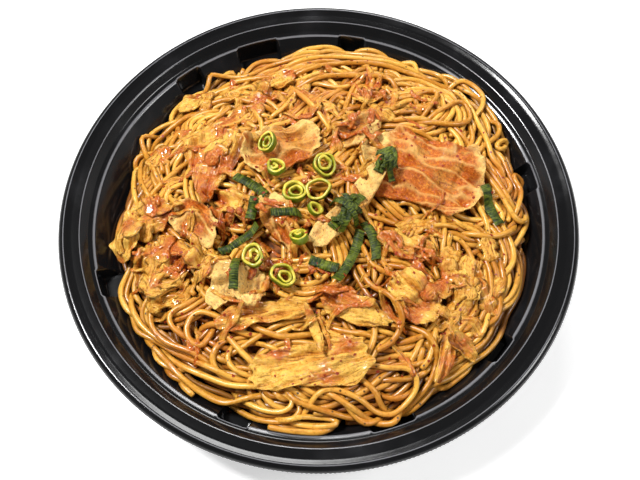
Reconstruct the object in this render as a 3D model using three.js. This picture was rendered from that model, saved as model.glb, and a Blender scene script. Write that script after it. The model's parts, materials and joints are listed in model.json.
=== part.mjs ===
import * as THREE from "three";

// Fried noodles with sliced pork, pickled cabbage and cut spring onion, heaped in a round
// black take-out tray. Millimetres, +Z up, origin at the centre of the tray's foot.

// ---- Driving dimensions ----
const RIM_RADIUS = 105;
const TRAY_HEIGHT = 30;
const SHEET = 0.8; // thickness of the formed plastic
const LEDGE_RADIUS = 91.4; // inner edge of the ledge at the top of the wall
const LEDGE_Z = 25;
const SHELF_RADIUS = 83.2; // where a pocket's shelf meets the sloping wall
const SHELF_Z = 16.2;
const POCKET_RADIUS = 92.2; // back wall of a pocket
const FOOT_RADIUS = 67;
const FLOOR_RISE = 1.5; // the middle of the floor stands clear of the table
const HEAP_TOP = 35;
const GAP = 0.35; // clearance between neighbouring pieces

const TAU = 2 * Math.PI;
const radians = THREE.MathUtils.degToRad;
const { lerp } = THREE.MathUtils;

// Pockets that keep stacked trays apart: [middle in degrees, width in mm].
const POCKETS = [
  [11, 11],
  [80.5, 10.5],
  [108, 17.5],
  [130, 10.5],
  [200, 10.5],
  [250, 10.5],
  [287.5, 15.5],
  [320, 11],
];
const POCKET_SIDE = 0.7; // degrees over which a pocket's side wall turns in

const COLOURS = {
  plastic: [0x0b0b0c, 0.25],
  noodle: [0xc98f4f, 0.45],
  pork: [0xd9a982, 0.5],
  fat: [0xecd9a6, 0.4],
  cabbage: [0xd9953f, 0.4],
  onion: [0xa9b84a, 0.4],
  leek: [0x2f6b2f, 0.45],
};

// ---- Toppings ----
// Sheets lie on the heap in this order, later ones on earlier ones. Each has its middle (at),
// its length and greatest width (size), the turn of its length from +X, its thickness, the
// share by which it narrows towards its far end (taper), the sideways sag of its spine (bow),
// the lift of its long edges (curl) and the height of its waves (wave).
const SHEETS = [
  ["cabbage_shreds_left", "cabbage", [-61, -27], [23, 22], 20, 3, { wave: 1.4, taper: 0.2 }],
  ["cabbage_shreds_right", "cabbage", [35, -20], [22, 11], -20, 2.6, { wave: 1.2 }],
  ["cabbage_edge", "cabbage", [-55, 56], [15, 12], 35, 2, { wave: 0.8, curl: 1.5 }],
  ["cabbage_leaf_rear", "cabbage", [-17, 63], [15, 10], 25, 1.8, { wave: 1 }],
  ["cabbage_strip_rear", "cabbage", [21, 50], [15, 7], 15, 1.8, { curl: 0.8 }],
  ["cabbage_leaf_left", "cabbage", [-70, -7], [24, 15], 12, 1.8, { wave: 1.2, curl: 1.6, bow: 2 }],
  ["cabbage_leaf_outer", "cabbage", [-77, -15], [15, 12], 75, 1.8, { wave: 0.8, curl: 1.5 }],
  ["pork_left", "pork", [-48, -10], [21, 15], -50, 2.2, { curl: 1, taper: 0.2 }],
  ["cabbage_fold", "cabbage", [-31, -3], [21, 10], -22, 1.8, { wave: 0.9, curl: 1 }],
  ["cabbage_wedge", "cabbage", [-43, 16], [38, 18], -98, 1.8, { taper: 0.75, curl: 1, bow: -1.5 }],
  ["cabbage_base", "cabbage", [-3, -67], [45, 17], 8, 1.8, { wave: 1, curl: 0.8, taper: -0.2 }],
  ["cabbage_flat", "cabbage", [-21, -48], [36, 9.5], 10, 1.8, { wave: 0.7, bow: 1.5 }],
  ["cabbage_frill", "cabbage", [14, -46], [27, 11], -24, 1.8, { wave: 1.2, taper: 0.35 }],
  ["cabbage_ribbed", "cabbage", [35, -35], [14, 9], 70, 1.8, { wave: 0.8, curl: 1 }],
  ["cabbage_stem", "cabbage", [36, -42], [24, 17], -40, 2.6, { curl: -1.6, taper: -0.1 }],
  ["cabbage_square", "cabbage", [56, -33], [19, 14], -75, 2, { wave: 0.8, curl: 0.8 }],
  ["cabbage_limp", "cabbage", [46, -62], [23, 6], -105, 1.8, { bow: 2 }],
  ["cabbage_glassy", "cabbage", [54, -59], [12, 8], -40, 2.4, { curl: -0.8 }],
  ["pork_rear", "pork", [-15, 24], [34, 22], 22, 2.2, { wave: 0.9, curl: 0.8, taper: 0.1 }],
  ["pork_dark", "pork", [15, 32], [20, 13], 30, 2.2, { wave: 1 }],
  ["pork_right", "pork", [42, 14], [52, 33], -22, 2.2, { wave: 1.8, curl: 1.2, taper: -0.15 }],
  ["pork_middle", "pork", [-15, -10], [24, 12], -65, 2.2, { taper: 0.35, curl: 0.8 }],
  ["pork_hook", "fat", [-41, -27], [20, 7], -10, 2.4, { bow: -3, wave: 0.8 }],
  ["pork_tail", "fat", [-36, -38], [17, 10], 55, 2.4, { taper: 0.4, wave: 0.6 }],
  ["pork_square", "fat", [-26, -37], [18, 12], -85, 2.4, { curl: 0.6, taper: -0.15 }],
  ["pork_fat_strip", "fat", [12, -2], [46, 9], 50, 2.6, { curl: 0.8, bow: -1.5, taper: 0.1 }],
  ["cabbage_stick", "cabbage", [-2, -55], [23, 3.6], -72, 2.6, { bow: 1 }],
  ["leek_cross", "leek", [-27, 6], [17, 4], -40, 1, { bow: 1.5 }],
  ["leek_short", "leek", [-26, -6], [8, 5], 75, 1, { curl: 0.6 }],
  ["leek_pale", "leek", [-31, -17], [17, 3], 32, 1, { bow: -1.2 }],
  ["leek_bar", "leek", [-13, -8], [11, 3.4], 5, 1, {}],
  ["leek_upright", "leek", [-31.5, -33], [15, 3.6], 88, 1, {}],
  ["leek_low", "leek", [2, -28], [12, 5], -20, 1, { curl: 0.5 }],
  ["leek_curl", "leek", [26, 14], [11, 8], 60, 1, { curl: 1 }],
  ["leek_bunch", "leek", [11, -7], [19, 8], 48, 1, { wave: 0.8 }],
  ["leek_long", "leek", [12, -25], [24, 4.4], 66, 1, { bow: -1.5 }],
  ["leek_fork", "leek", [20, -18], [18, 4.4], -76, 1, { bow: 1.5 }],
  ["leek_far", "leek", [70, -1], [17, 6], -72, 1, { bow: -1 }],
];
// Rings of spring onion: middle, outer radius, height, tilt and the way it leans.
const RINGS = [
  ["onion_rear", [-20, 23], 4.4, 3, 28, 200],
  ["onion_hook", [-17, 11], 4, 3, 12, 90],
  ["onion_green", [2, 14], 5, 4, 20, 300],
  ["onion_wide", [0, 3], 5.2, 3.4, 18, 250],
  ["onion_dark", [-10, 2], 5, 3, 12, 40],
  ["onion_small", [-2, -6], 3.2, 2.6, 30, 10],
  ["onion_stand", [-7, -20], 4, 3.4, 32, 120],
  ["onion_tall", [-25, -25.5], 4.6, 4.6, 14, 270],
  ["onion_front", [-14, -33], 5.2, 3.4, 14, 330],
];

/** A closed body swept round the axis: rows run from pole to pole, pointAt(row, angle) gives [r, z]. */
function sweepRows(rows, angles, pointAt) {
  const position = [];
  const index = [];
  const first = pointAt(0, 0);
  const last = pointAt(rows - 1, 0);
  position.push(0, 0, first[1]);
  for (let j = 1; j < rows - 1; j++)
    for (const angle of angles) {
      const [r, z] = pointAt(j, angle);
      position.push(r * Math.cos(angle), r * Math.sin(angle), z);
    }
  position.push(0, 0, last[1]);
  const n = angles.length;
  const at = (j, i) => 1 + (j - 1) * n + (i % n);
  const end = 1 + (rows - 2) * n;
  for (let i = 0; i < n; i++) {
    index.push(0, at(1, i), at(1, i + 1));
    index.push(end, at(rows - 2, i + 1), at(rows - 2, i));
    for (let j = 1; j < rows - 2; j++) {
      index.push(at(j, i), at(j + 1, i), at(j + 1, i + 1));
      index.push(at(j, i), at(j + 1, i + 1), at(j, i + 1));
    }
  }
  return indexed(position, index);
}

function indexed(position, index) {
  const geometry = new THREE.BufferGeometry();
  geometry.setAttribute("position", new THREE.Float32BufferAttribute(position, 3));
  geometry.setIndex(index);
  geometry.computeVertexNormals();
  return geometry;
}

// ---- Tray ----
// Faces of the formed sheet as [r, z], with the place that the point takes inside a pocket.
const INSIDE_FACE = [
  [[0, FLOOR_RISE + SHEET]],
  [[56, FLOOR_RISE + SHEET]],
  [[58, SHEET]],
  [[FOOT_RADIUS, SHEET]],
  [[71, 2.6]],
  [[76.5, 9]],
  [[SHELF_RADIUS, SHELF_Z]],
  [[(SHELF_RADIUS + LEDGE_RADIUS) / 2, (SHELF_Z + LEDGE_Z) / 2], [POCKET_RADIUS - 1.2, SHELF_Z]],
  [[LEDGE_RADIUS, LEDGE_Z], [POCKET_RADIUS, LEDGE_Z]],
  [[93.6, 25.3]],
  [[96.3, 28.8]],
  [[100.1, 28.75]],
  [[101.5, 29.4]],
  [[102.6, TRAY_HEIGHT]],
  [[104.3, 29.2]],
  [[RIM_RADIUS, 26.7]],
];
const UNDERSIDE = [
  [[RIM_RADIUS - SHEET, 26.7]],
  [[103.6, 28.6]],
  [[102.5, 29.2]],
  [[100.3, 27.95]],
  [[96.6, 28]],
  [[94.3, 24.6]],
  [[LEDGE_RADIUS + 0.5, LEDGE_Z - 0.7], [POCKET_RADIUS + SHEET, LEDGE_Z - 0.6]],
  [[87.9, 20], [POCKET_RADIUS - 0.4, SHELF_Z - SHEET]],
  [[SHELF_RADIUS + 0.6, SHELF_Z - SHEET]],
  [[77.2, 8.5]],
  [[71.6, 2]],
  [[FOOT_RADIUS + 0.8, 0]],
  [[57.4, 0]],
  [[55.6, FLOOR_RISE]],
  [[0, FLOOR_RISE]],
];

/** 1 inside a pocket, 0 on the plain wall, and between the two on a pocket's side wall. */
function pocketShare(angle) {
  return Math.max(
    ...POCKETS.map(([middle, width]) => {
      const half = width / POCKET_RADIUS / 2;
      const away = Math.abs(Math.atan2(Math.sin(angle - radians(middle)), Math.cos(angle - radians(middle))));
      return THREE.MathUtils.clamp((half + radians(POCKET_SIDE) - away) / radians(POCKET_SIDE), 0, 1);
    }),
  );
}

/** Angles of the tray's columns: even ones, thinned near the pockets' own four. */
function trayAngles() {
  const own = POCKETS.flatMap(([middle, width]) => {
    const half = width / POCKET_RADIUS / 2;
    const side = radians(POCKET_SIDE);
    return [-half - side, -half, half, half + side].map((d) => radians(middle) + d);
  });
  const even = Array.from({ length: 44 }, (_, i) => (i * TAU) / 44);
  const clear = even.filter((a) => own.every((b) => Math.abs(Math.sin((a - b) / 2)) > 0.028));
  return [...own, ...clear].map((a) => (a + TAU) % TAU).sort((a, b) => a - b);
}

function trayGeometry() {
  const faces = [...INSIDE_FACE, ...UNDERSIDE];
  return sweepRows(faces.length, trayAngles(), (row, angle) => {
    const [plain, pocket = plain] = faces[row];
    const share = pocketShare(angle);
    return [lerp(plain[0], pocket[0], share), lerp(plain[1], pocket[1], share)];
  });
}

// ---- Heap of noodles ----
// Where the heap's outline meets the tray's wall: radius by angle, smooth between.
const OUTLINE = [
  [0, 88],
  [30, 89],
  [60, 87],
  [88, 85],
  [112, 82],
  [138, 82],
  [165, 82],
  [187, 85],
  [215, 87],
  [245, 87],
  [275, 89.5],
  [302, 88],
  [332, 89],
];

function outlineRadius(angle) {
  const degrees = (THREE.MathUtils.radToDeg(angle) + 360) % 360;
  let i = OUTLINE.length - 1;
  while (OUTLINE[i][0] > degrees) i--;
  const [a0, r0] = OUTLINE[i];
  const [a1, r1] = OUTLINE[(i + 1) % OUTLINE.length];
  const share = (degrees - a0) / ((a1 - a0 + 360) % 360);
  return lerp(r0, r1, (1 - Math.cos(Math.PI * share)) / 2);
}

const WALL_SLOPE = (LEDGE_Z - SHELF_Z) / (LEDGE_RADIUS - SHELF_RADIUS);
const wallHeight = (r) => LEDGE_Z - (LEDGE_RADIUS - r) * WALL_SLOPE;

/** Height of the heap: a flat-topped dome that falls to the wall, with lumps of tangled strands. */
function heapHeight(x, y) {
  const r = outlineRadius(Math.atan2(y, x));
  const u = Math.min(Math.hypot(x, y) / r, 1);
  const edge = wallHeight(r) + 1;
  const lumps =
    0.9 * Math.sin(x / 7.3 + 1.3 * Math.sin(y / 13)) * Math.cos(y / 8.1) +
    0.6 * Math.sin((x + y) / 10.7 + 2) * Math.sin((x - 2 * y) / 14.9);
  return edge + (HEAP_TOP - edge) * (1 - u ** 2.6) ** 0.75 + lumps * (1 - u ** 4);
}

function heapGeometry() {
  const shares = [0, 0.12, 0.26, 0.4, 0.53, 0.65, 0.76, 0.86, 0.93, 0.98];
  const wallGap = GAP + 0.25;
  const below = [
    [LEDGE_RADIUS, LEDGE_Z],
    [SHELF_RADIUS, SHELF_Z],
    [76.5, 9],
    [71, 2.6],
    [55, FLOOR_RISE + SHEET],
    [0, FLOOR_RISE + SHEET],
  ];
  const rows = shares.length + below.length;
  const angles = Array.from({ length: 48 }, (_, i) => (i * TAU) / 48);
  return sweepRows(rows, angles, (row, angle) => {
    const edge = outlineRadius(angle);
    if (row < shares.length) {
      const r = shares[row] * edge;
      return [r, heapHeight(r * Math.cos(angle), r * Math.sin(angle))];
    }
    const [r, z] = below[row - shares.length];
    const meets = row === shares.length;
    const wall = r > FOOT_RADIUS ? wallGap : 0;
    return meets ? [edge - wallGap, wallHeight(edge) + wallGap] : [r - wall, z + wallGap];
  });
}

// ---- Height field that the toppings come down on ----
class HeightField {
  constructor(half, step) {
    this.half = half;
    this.step = step;
    this.count = Math.round((2 * half) / step) + 1;
    this.top = new Float64Array(this.count ** 2).fill(0);
  }

  /** Calls visit(cell, z) for each cell under the geometry's triangles that face up or down. */
  scan(geometry, facing, visit) {
    const { array } = geometry.attributes.position;
    const { array: index } = geometry.index;
    const corner = (i) => [array[3 * i], array[3 * i + 1], array[3 * i + 2]];
    const cell = (v) => (v + this.half) / this.step;
    for (let t = 0; t < index.length; t += 3) {
      const [a, b, c] = [corner(index[t]), corner(index[t + 1]), corner(index[t + 2])];
      const area = (b[0] - a[0]) * (c[1] - a[1]) - (c[0] - a[0]) * (b[1] - a[1]);
      if (area * facing <= 1e-9) continue;
      const xs = [a[0], b[0], c[0]];
      const ys = [a[1], b[1], c[1]];
      for (let i = Math.ceil(cell(Math.min(...xs))); i <= cell(Math.max(...xs)); i++)
        for (let j = Math.ceil(cell(Math.min(...ys))); j <= cell(Math.max(...ys)); j++) {
          const x = i * this.step - this.half;
          const y = j * this.step - this.half;
          const v = ((x - a[0]) * (c[1] - a[1]) - (c[0] - a[0]) * (y - a[1])) / area;
          const w = ((b[0] - a[0]) * (y - a[1]) - (x - a[0]) * (b[1] - a[1])) / area;
          if (v >= -1e-6 && w >= -1e-6 && v + w <= 1 + 1e-6)
            visit(i * this.count + j, a[2] + v * (b[2] - a[2]) + w * (c[2] - a[2]));
        }
    }
  }

  stamp(geometry) {
    this.scan(geometry, 1, (cell, z) => {
      this.top[cell] = Math.max(this.top[cell], z);
    });
  }

  /** The highest point within reach of (x, y). */
  highest(x, y, reach) {
    const cells = Math.ceil(reach / this.step);
    const i0 = Math.round((x + this.half) / this.step);
    const j0 = Math.round((y + this.half) / this.step);
    let top = 0;
    for (let i = i0 - cells; i <= i0 + cells; i++)
      for (let j = j0 - cells; j <= j0 + cells; j++)
        if (Math.hypot(i - i0, j - j0) <= cells) top = Math.max(top, this.top[i * this.count + j]);
    return top;
  }

  /** Moves the geometry up or down until its underside clears everything by GAP, then adds it. */
  settle(geometry) {
    const span = [-2, -1, 0, 1, 2];
    const near = span.flatMap((i) => span.map((j) => i * this.count + j));
    let least = Infinity;
    this.scan(geometry, -1, (cell, z) => {
      least = Math.min(least, ...near.map((step) => z - this.top[cell + step]));
    });
    geometry.translate(0, 0, GAP - least);
    this.stamp(geometry);
    return geometry;
  }
}

// ---- Toppings ----
const CELL = 4.4; // length of a sheet's grid cell
const REACH = 1.6; // how far round a point a sheet feels what is under it
const STEEPEST = 0.42; // a sheet bridges anything steeper than this

/** A slab of even thickness draped over the field, with its outline narrowed and its edges lifted. */
function sheetGeometry(field, [x0, y0], [length, width], turn, thickness, form) {
  const { wave = 0, curl = 0, bow = 0, taper = 0 } = form;
  const nt = Math.max(3, Math.round(length / CELL));
  const ns = Math.max(1, Math.round(width / CELL));
  const cos = Math.cos(radians(turn));
  const sin = Math.sin(radians(turn));
  const phase = x0 * 0.7 + y0 * 1.3;
  const ground = [];
  const lifts = [];
  const places = [];
  for (let i = 0; i <= nt; i++)
    for (let j = 0; j <= ns; j++) {
      const t = (2 * i) / nt - 1;
      const s = (2 * j) / ns - 1;
      const rounded = (1 - Math.abs(t) ** 4) ** 0.4;
      const ragged = 1 + 0.09 * Math.sin(5 * t + phase) + 0.06 * Math.sin(9 * t - 2 * s + phase);
      const half = (width / 2) * Math.max(0.35, rounded) * (1 - taper * t) * ragged;
      const end = (length / 2) * (1 - 0.05 * Math.cos(3 * s + phase));
      const along = t * end;
      const across = s * half + bow * (1 - t * t);
      const x = x0 + along * cos - across * sin;
      const y = y0 + along * sin + across * cos;
      places.push([x, y]);
      ground.push(field.highest(x, y, REACH));
      lifts.push(curl * s * s + wave * Math.sin(4.2 * t + 1.7 * s + phase));
    }
  const heights = places.map(([x, y], k) => {
    const bridged = places.map(([u, v], m) => ground[m] - STEEPEST * Math.hypot(x - u, y - v));
    return Math.max(...bridged) + lifts[k];
  });
  const count = places.length;
  const position = [];
  for (const above of [0, thickness])
    places.forEach(([x, y], k) => position.push(x, y, heights[k] + above));
  const index = [];
  const at = (i, j) => i * (ns + 1) + j;
  const quad = (a, b, c, d) => index.push(a, b, c, a, c, d);
  for (let i = 0; i < nt; i++)
    for (let j = 0; j < ns; j++) {
      const [a, b, c, d] = [at(i, j), at(i + 1, j), at(i + 1, j + 1), at(i, j + 1)];
      quad(a + count, b + count, c + count, d + count);
      quad(a, d, c, b);
    }
  const border = [];
  for (let i = 0; i < nt; i++) border.push(at(i, 0));
  for (let j = 0; j < ns; j++) border.push(at(nt, j));
  for (let i = nt; i > 0; i--) border.push(at(i, ns));
  for (let j = ns; j > 0; j--) border.push(at(0, j));
  border.forEach((a, k) => {
    const b = border[(k + 1) % border.length];
    quad(a, b, b + count, a + count);
  });
  return field.settle(indexed(position, index));
}

const RING_WALL = 1.3; // thickness of an onion ring's wall
const RING_SIDES = 14;

/** A cut ring of spring onion, leaning by tilt towards the angle lean. */
function ringGeometry(field, [x, y], radius, height, tilt, lean) {
  const inner = radius - RING_WALL;
  const profile = [
    new THREE.Vector2(inner, 0),
    new THREE.Vector2(radius, 0),
    new THREE.Vector2(radius, height),
    new THREE.Vector2(inner, height),
    new THREE.Vector2(inner, 0),
  ];
  const ring = new THREE.LatheGeometry(profile, RING_SIDES);
  ring.rotateX(Math.PI / 2);
  ring.rotateY(radians(tilt));
  ring.rotateZ(radians(lean));
  ring.translate(x, y, 0);
  return field.settle(ring);
}

// ---- Assembly ----
const dish = new THREE.Group();

function add(name, kind, geometry) {
  const [color, roughness] = COLOURS[kind];
  const material = new THREE.MeshStandardMaterial({ color, roughness, metalness: 0 });
  const mesh = new THREE.Mesh(geometry, material);
  mesh.name = name;
  dish.add(mesh);
}

const tray = trayGeometry();
const heap = heapGeometry();
add("tray", "plastic", tray);
add("noodles", "noodle", heap);
const field = new HeightField(RIM_RADIUS, 0.25);
field.stamp(tray);
field.stamp(heap);
for (const [name, kind, at, size, turn, thickness, form] of SHEETS)
  add(name, kind, sheetGeometry(field, at, size, turn, thickness, form));
for (const [name, at, radius, height, tilt, lean] of RINGS)
  add(name, "onion", ringGeometry(field, at, radius, height, tilt, lean));

export default dish;
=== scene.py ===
"""Fried noodles with pork, pickled cabbage and spring onion in a round take-out tray.

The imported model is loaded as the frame. Sizes here are in millimetres and are turned to metres
when a mesh is made, so that a strand's thickness or a slice's grain can be read at its real size.
"""

import json
import logging
import math
from dataclasses import dataclass, field
from enum import Enum

import bmesh
import bpy
import numpy as np
from mathutils import Matrix, Vector, noise
from mathutils.bvhtree import BVHTree

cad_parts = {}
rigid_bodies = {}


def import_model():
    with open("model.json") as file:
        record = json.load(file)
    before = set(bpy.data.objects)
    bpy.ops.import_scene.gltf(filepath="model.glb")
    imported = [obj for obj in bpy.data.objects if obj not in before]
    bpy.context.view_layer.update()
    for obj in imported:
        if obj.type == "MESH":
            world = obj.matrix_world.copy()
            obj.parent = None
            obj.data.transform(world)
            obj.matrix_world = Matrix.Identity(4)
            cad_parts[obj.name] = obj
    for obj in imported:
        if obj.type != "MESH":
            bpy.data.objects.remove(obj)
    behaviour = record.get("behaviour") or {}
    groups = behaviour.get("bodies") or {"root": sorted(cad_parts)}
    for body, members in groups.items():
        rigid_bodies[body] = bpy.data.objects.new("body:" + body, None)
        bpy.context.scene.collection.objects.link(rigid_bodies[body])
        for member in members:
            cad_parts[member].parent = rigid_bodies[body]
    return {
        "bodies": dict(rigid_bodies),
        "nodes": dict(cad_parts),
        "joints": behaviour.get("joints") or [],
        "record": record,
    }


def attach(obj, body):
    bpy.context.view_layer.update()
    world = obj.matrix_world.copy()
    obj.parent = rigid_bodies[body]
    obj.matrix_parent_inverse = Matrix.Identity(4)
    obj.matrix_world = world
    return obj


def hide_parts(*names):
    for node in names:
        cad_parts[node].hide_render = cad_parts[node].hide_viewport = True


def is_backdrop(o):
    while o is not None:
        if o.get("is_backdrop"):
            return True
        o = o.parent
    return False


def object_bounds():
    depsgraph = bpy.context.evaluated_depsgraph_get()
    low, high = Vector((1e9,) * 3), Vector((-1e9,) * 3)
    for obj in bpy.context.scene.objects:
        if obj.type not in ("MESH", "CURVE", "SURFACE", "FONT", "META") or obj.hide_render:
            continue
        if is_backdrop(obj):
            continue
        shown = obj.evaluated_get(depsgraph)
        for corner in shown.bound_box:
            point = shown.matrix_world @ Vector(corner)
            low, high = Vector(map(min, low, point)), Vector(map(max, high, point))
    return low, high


log = logging.getLogger("noodle_tray")

MM = 0.001
BODY = "root"


# ------ shader building


@dataclass(frozen=True)
class Value:
    """An output of a material's nodes that Python's operators can be used on."""

    book: "NodeBook"
    socket: bpy.types.NodeSocket

    def __add__(self, other: "Value | float") -> "Value":
        """Adds two values."""
        return self.book.maths("ADD", self, other)

    def __radd__(self, other: float) -> "Value":
        """Adds with the number on the left."""
        return self.book.maths("ADD", other, self)

    def __sub__(self, other: "Value | float") -> "Value":
        """Subtracts a value."""
        return self.book.maths("SUBTRACT", self, other)

    def __rsub__(self, other: float) -> "Value":
        """Subtracts from the number on the left."""
        return self.book.maths("SUBTRACT", other, self)

    def __mul__(self, other: "Value | float") -> "Value":
        """Multiplies two values."""
        return self.book.maths("MULTIPLY", self, other)

    def __rmul__(self, other: float) -> "Value":
        """Multiplies with the number on the left."""
        return self.book.maths("MULTIPLY", other, self)


Link = Value | float | tuple


class NodeBook:
    """The nodes of one material, written as expressions."""

    def __init__(self, name: str) -> None:
        """Starts an empty material.

        Args:
            name: The material's name.
        """
        self.material = bpy.data.materials.new(name)
        self.material.use_nodes = True
        self.tree = self.material.node_tree
        self.tree.nodes.clear()

    def node(
        self,
        kind: str,
        settings: dict | None = None,
        inputs: dict | None = None,
        output: int | str = 0,
    ) -> Value:
        """Adds a node.

        Args:
            kind: The node's type, without its ShaderNode prefix.
            settings: Properties set first, such as an operation; "stops" fills a colour ramp.
            inputs: Values or links by socket name or number.
            output: The output that is returned.

        Returns:
            The chosen output.
        """
        made = self.tree.nodes.new("ShaderNode" + kind)
        for key, value in (settings or {}).items():
            if key == "stops":
                self.fill_ramp(made.color_ramp, value)
            else:
                setattr(made, key, value)
        for key, value in (inputs or {}).items():
            self._feed(made.inputs[key], value)
        return Value(self, made.outputs[output])

    def _feed(self, socket: bpy.types.NodeSocket, value: Link) -> None:
        """Links a value to a socket, or sets a plain number or colour on it."""
        if isinstance(value, Value):
            self.tree.links.new(value.socket, socket)
        else:
            socket.default_value = value

    @staticmethod
    def fill_ramp(ramp: bpy.types.ColorRamp, stops: list) -> None:
        """Replaces a ramp's stops with (place, colour) pairs."""
        while len(ramp.elements) < len(stops):
            ramp.elements.new(0.5)
        for element, (place, colour) in zip(ramp.elements, stops):
            element.position = place
            element.color = colour

    def maths(self, operation: str, a: Link, b: Link = 0.0) -> Value:
        """Adds a Math node on two values."""
        return self.node("Math", {"operation": operation}, {0: a, 1: b})

    def band(self, value: Value, low: float, high: float, top: float = 1.0) -> Value:
        """Maps low..high of a value to 0..top, smoothly and held at the ends."""
        settings = {"interpolation_type": "SMOOTHSTEP"}
        inputs = {"Value": value, "From Min": low, "From Max": high, "To Max": top}
        return self.node("MapRange", settings, inputs)

    def mix(self, share: Link, a: Link, b: Link, blend: str = "MIX") -> Value:
        """Mixes two colours by a share."""
        settings = {"data_type": "RGBA", "blend_type": blend, "clamp_factor": True}
        return self.node("Mix", settings, {0: share, 6: a, 7: b}, 2)

    def place(self) -> Value:
        """The place on the object, in metres."""
        return self.node("TexCoord", output="Object")

    def attribute(self, name: str, output: str = "Fac") -> Value:
        """A number or vector stored on the mesh."""
        return self.node("Attribute", {"attribute_name": name}, output=output)

    def stretched(self, vector: Value, scale: tuple) -> Value:
        """A vector scaled along its axes."""
        return self.node("Mapping", None, {"Vector": vector, "Scale": scale})

    def noise(self, vector: Value, scale: float, detail: float = 3.0, rough: float = 0.55) -> Value:
        """Fractal noise from 0 to 1 at a scale per unit of the vector."""
        inputs = {"Vector": vector, "Scale": scale, "Detail": detail, "Roughness": rough}
        return self.node("TexNoise", {"noise_dimensions": "3D"}, inputs)

    def cells(self, vector: Value, scale: float) -> Value:
        """Distance to the nearest of scattered points."""
        return self.node("TexVoronoi", {"feature": "F1"}, {"Vector": vector, "Scale": scale})

    def bump(self, height: Value, strength: float, reach_mm: float, normal: Value | None = None) -> Value:
        """A Bump node whose full height is reach_mm millimetres."""
        inputs = {"Height": height, "Strength": strength, "Distance": reach_mm * MM}
        if normal is not None:
            inputs["Normal"] = normal
        return self.node("Bump", None, inputs)

    def grained(self, base: Value, fine: Value, dark: tuple, light: tuple, share: float = 0.5) -> Value:
        """A colour broken up by fine grain: the grain's own tone, with painted shade in its dips and a
        painted highlight on its tops.
        """
        base = self.mix(self.band(fine, 0.49, 0.38, share), base, dark)
        return self.mix(self.band(fine, 0.52, 0.64, share), base, light)

    def finish(self, **sockets: Link) -> bpy.types.Material:
        """Ends the material with a Principled shader.

        Args:
            **sockets: Values by socket name, with _ for a space.

        Returns:
            The material.
        """
        inputs = {name.replace("_", " "): value for name, value in sockets.items()}
        shader = self.node("BsdfPrincipled", None, inputs)
        end = self.tree.nodes.new("ShaderNodeOutputMaterial")
        self.tree.links.new(shader.socket, end.inputs["Surface"])
        return self.material


def rgb(hexa: int) -> tuple[float, float, float, float]:
    """The linear colour of a hexadecimal display colour."""
    parts = [((hexa >> shift) & 255) / 255 for shift in (16, 8, 0)]
    linear = [c / 12.92 if c <= 0.04045 else ((c + 0.055) / 1.055) ** 2.4 for c in parts]
    return (*linear, 1.0)


# ------ finishes


@dataclass(frozen=True)
class FormedPlastic:
    """Black glossy sheet plastic with faint handling marks, and painted highlight lines on its ridges and
    knurl teeth.
    """

    colour: tuple = rgb(0x111112)
    worn: tuple = rgb(0x1F1F21)
    rubbed: tuple = rgb(0x8C8C90)
    roughness: float = 0.12

    def material(self) -> bpy.types.Material:
        """Builds the material."""
        book = NodeBook("formed_plastic")
        place = book.place()
        smears = book.noise(place, 38.0, 4.0)
        grain = book.noise(place, 420.0, 2.0)
        scuffs = book.noise(book.stretched(place, (60.0, 900.0, 200.0)), 1.0, 3.0)
        drops = book.band(book.cells(place, 150.0), 0.1, 0.05) * book.band(smears, 0.5, 0.62)
        rough = self.roughness + 0.12 * book.band(smears, 0.5, 0.8) + 0.04 * grain
        height = 0.5 * smears + 0.1 * grain + 0.08 * scuffs + 0.5 * drops
        # Painted highlight: pale lines along the ridges and knurl teeth that the ridge attribute marks,
        # broken up by the smears.
        rub = book.band(book.attribute("ridge") + 0.3 * smears, 0.6, 1.0, 0.6)
        base = book.mix(book.band(smears, 0.5, 0.8), self.colour, self.worn)
        return book.finish(
            Base_Color=book.mix(rub, base, self.rubbed),
            Roughness=rough,
            IOR=1.46,
            Normal=book.bump(height, 0.5, 0.1),
        )


@dataclass(frozen=True)
class NoodleFinish:
    """Fried wheat noodle: gold to tan, with painted shade where it lies low and on its underside, and
    with specks.
    """

    pale: tuple = rgb(0xEAB046)
    tan: tuple = rgb(0xBE7A1C)
    stained: tuple = rgb(0xB65C0A)
    sauced: tuple = rgb(0x6A3406)
    speck: tuple = rgb(0x2A1204)
    grain_dark: tuple = rgb(0x8A4E0C)
    grain_light: tuple = rgb(0xF4C262)
    gloss: float = 0.25

    def material(self) -> bpy.types.Material:
        """Builds the material."""
        book = NodeBook("noodle_finish")
        place = book.place()
        tone = book.attribute("tone")
        depth = book.attribute("depth")
        patches = book.noise(place, 55.0, 3.0)
        mottle = book.noise(place, 700.0, 3.0, 0.65)
        along = book.stretched(book.attribute("grain", "Vector"), (0.12, 0.9, 1.0))
        streaks = book.noise(along, 1.0, 3.0)
        base = book.mix(book.band(0.6 * tone + 0.5 * patches, 0.25, 0.85), self.pale, self.tan)
        # The grain's tone, with painted shade in its dips and a painted highlight on its tops.
        base = book.grained(base, 0.5 * streaks + 0.5 * mottle, self.grain_dark, self.grain_light)
        oily = book.band(book.noise(place, 30.0, 4.0, 0.6), 0.48, 0.7)
        base = book.mix(0.55 * oily, base, self.stained)
        # Painted shade: strands that lie deep in the heap, and their undersides, are darkened towards
        # this colour.
        base = book.mix(0.85 * book.band(depth + 0.15 * mottle, 0.2, 1.05), base, self.sauced)
        specks = book.band(book.cells(place, 330.0), 0.2, 0.1)
        sparse = book.band(book.noise(place, 90.0, 1.0), 0.44, 0.54)
        base = book.mix(specks * sparse * 0.9, base, self.speck)
        return book.finish(
            Base_Color=base,
            Roughness=self.gloss + 0.2 * mottle,
            Subsurface_Weight=0.05,
            Subsurface_Radius=(0.0012, 0.0006, 0.0002),
            Subsurface_Scale=1.0,
            Coat_Weight=book.band(patches, 0.4, 0.7, 0.5),
            Coat_Roughness=0.14,
            Normal=book.bump(0.6 * mottle + 0.5 * streaks, 0.7, 0.25),
        )


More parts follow.
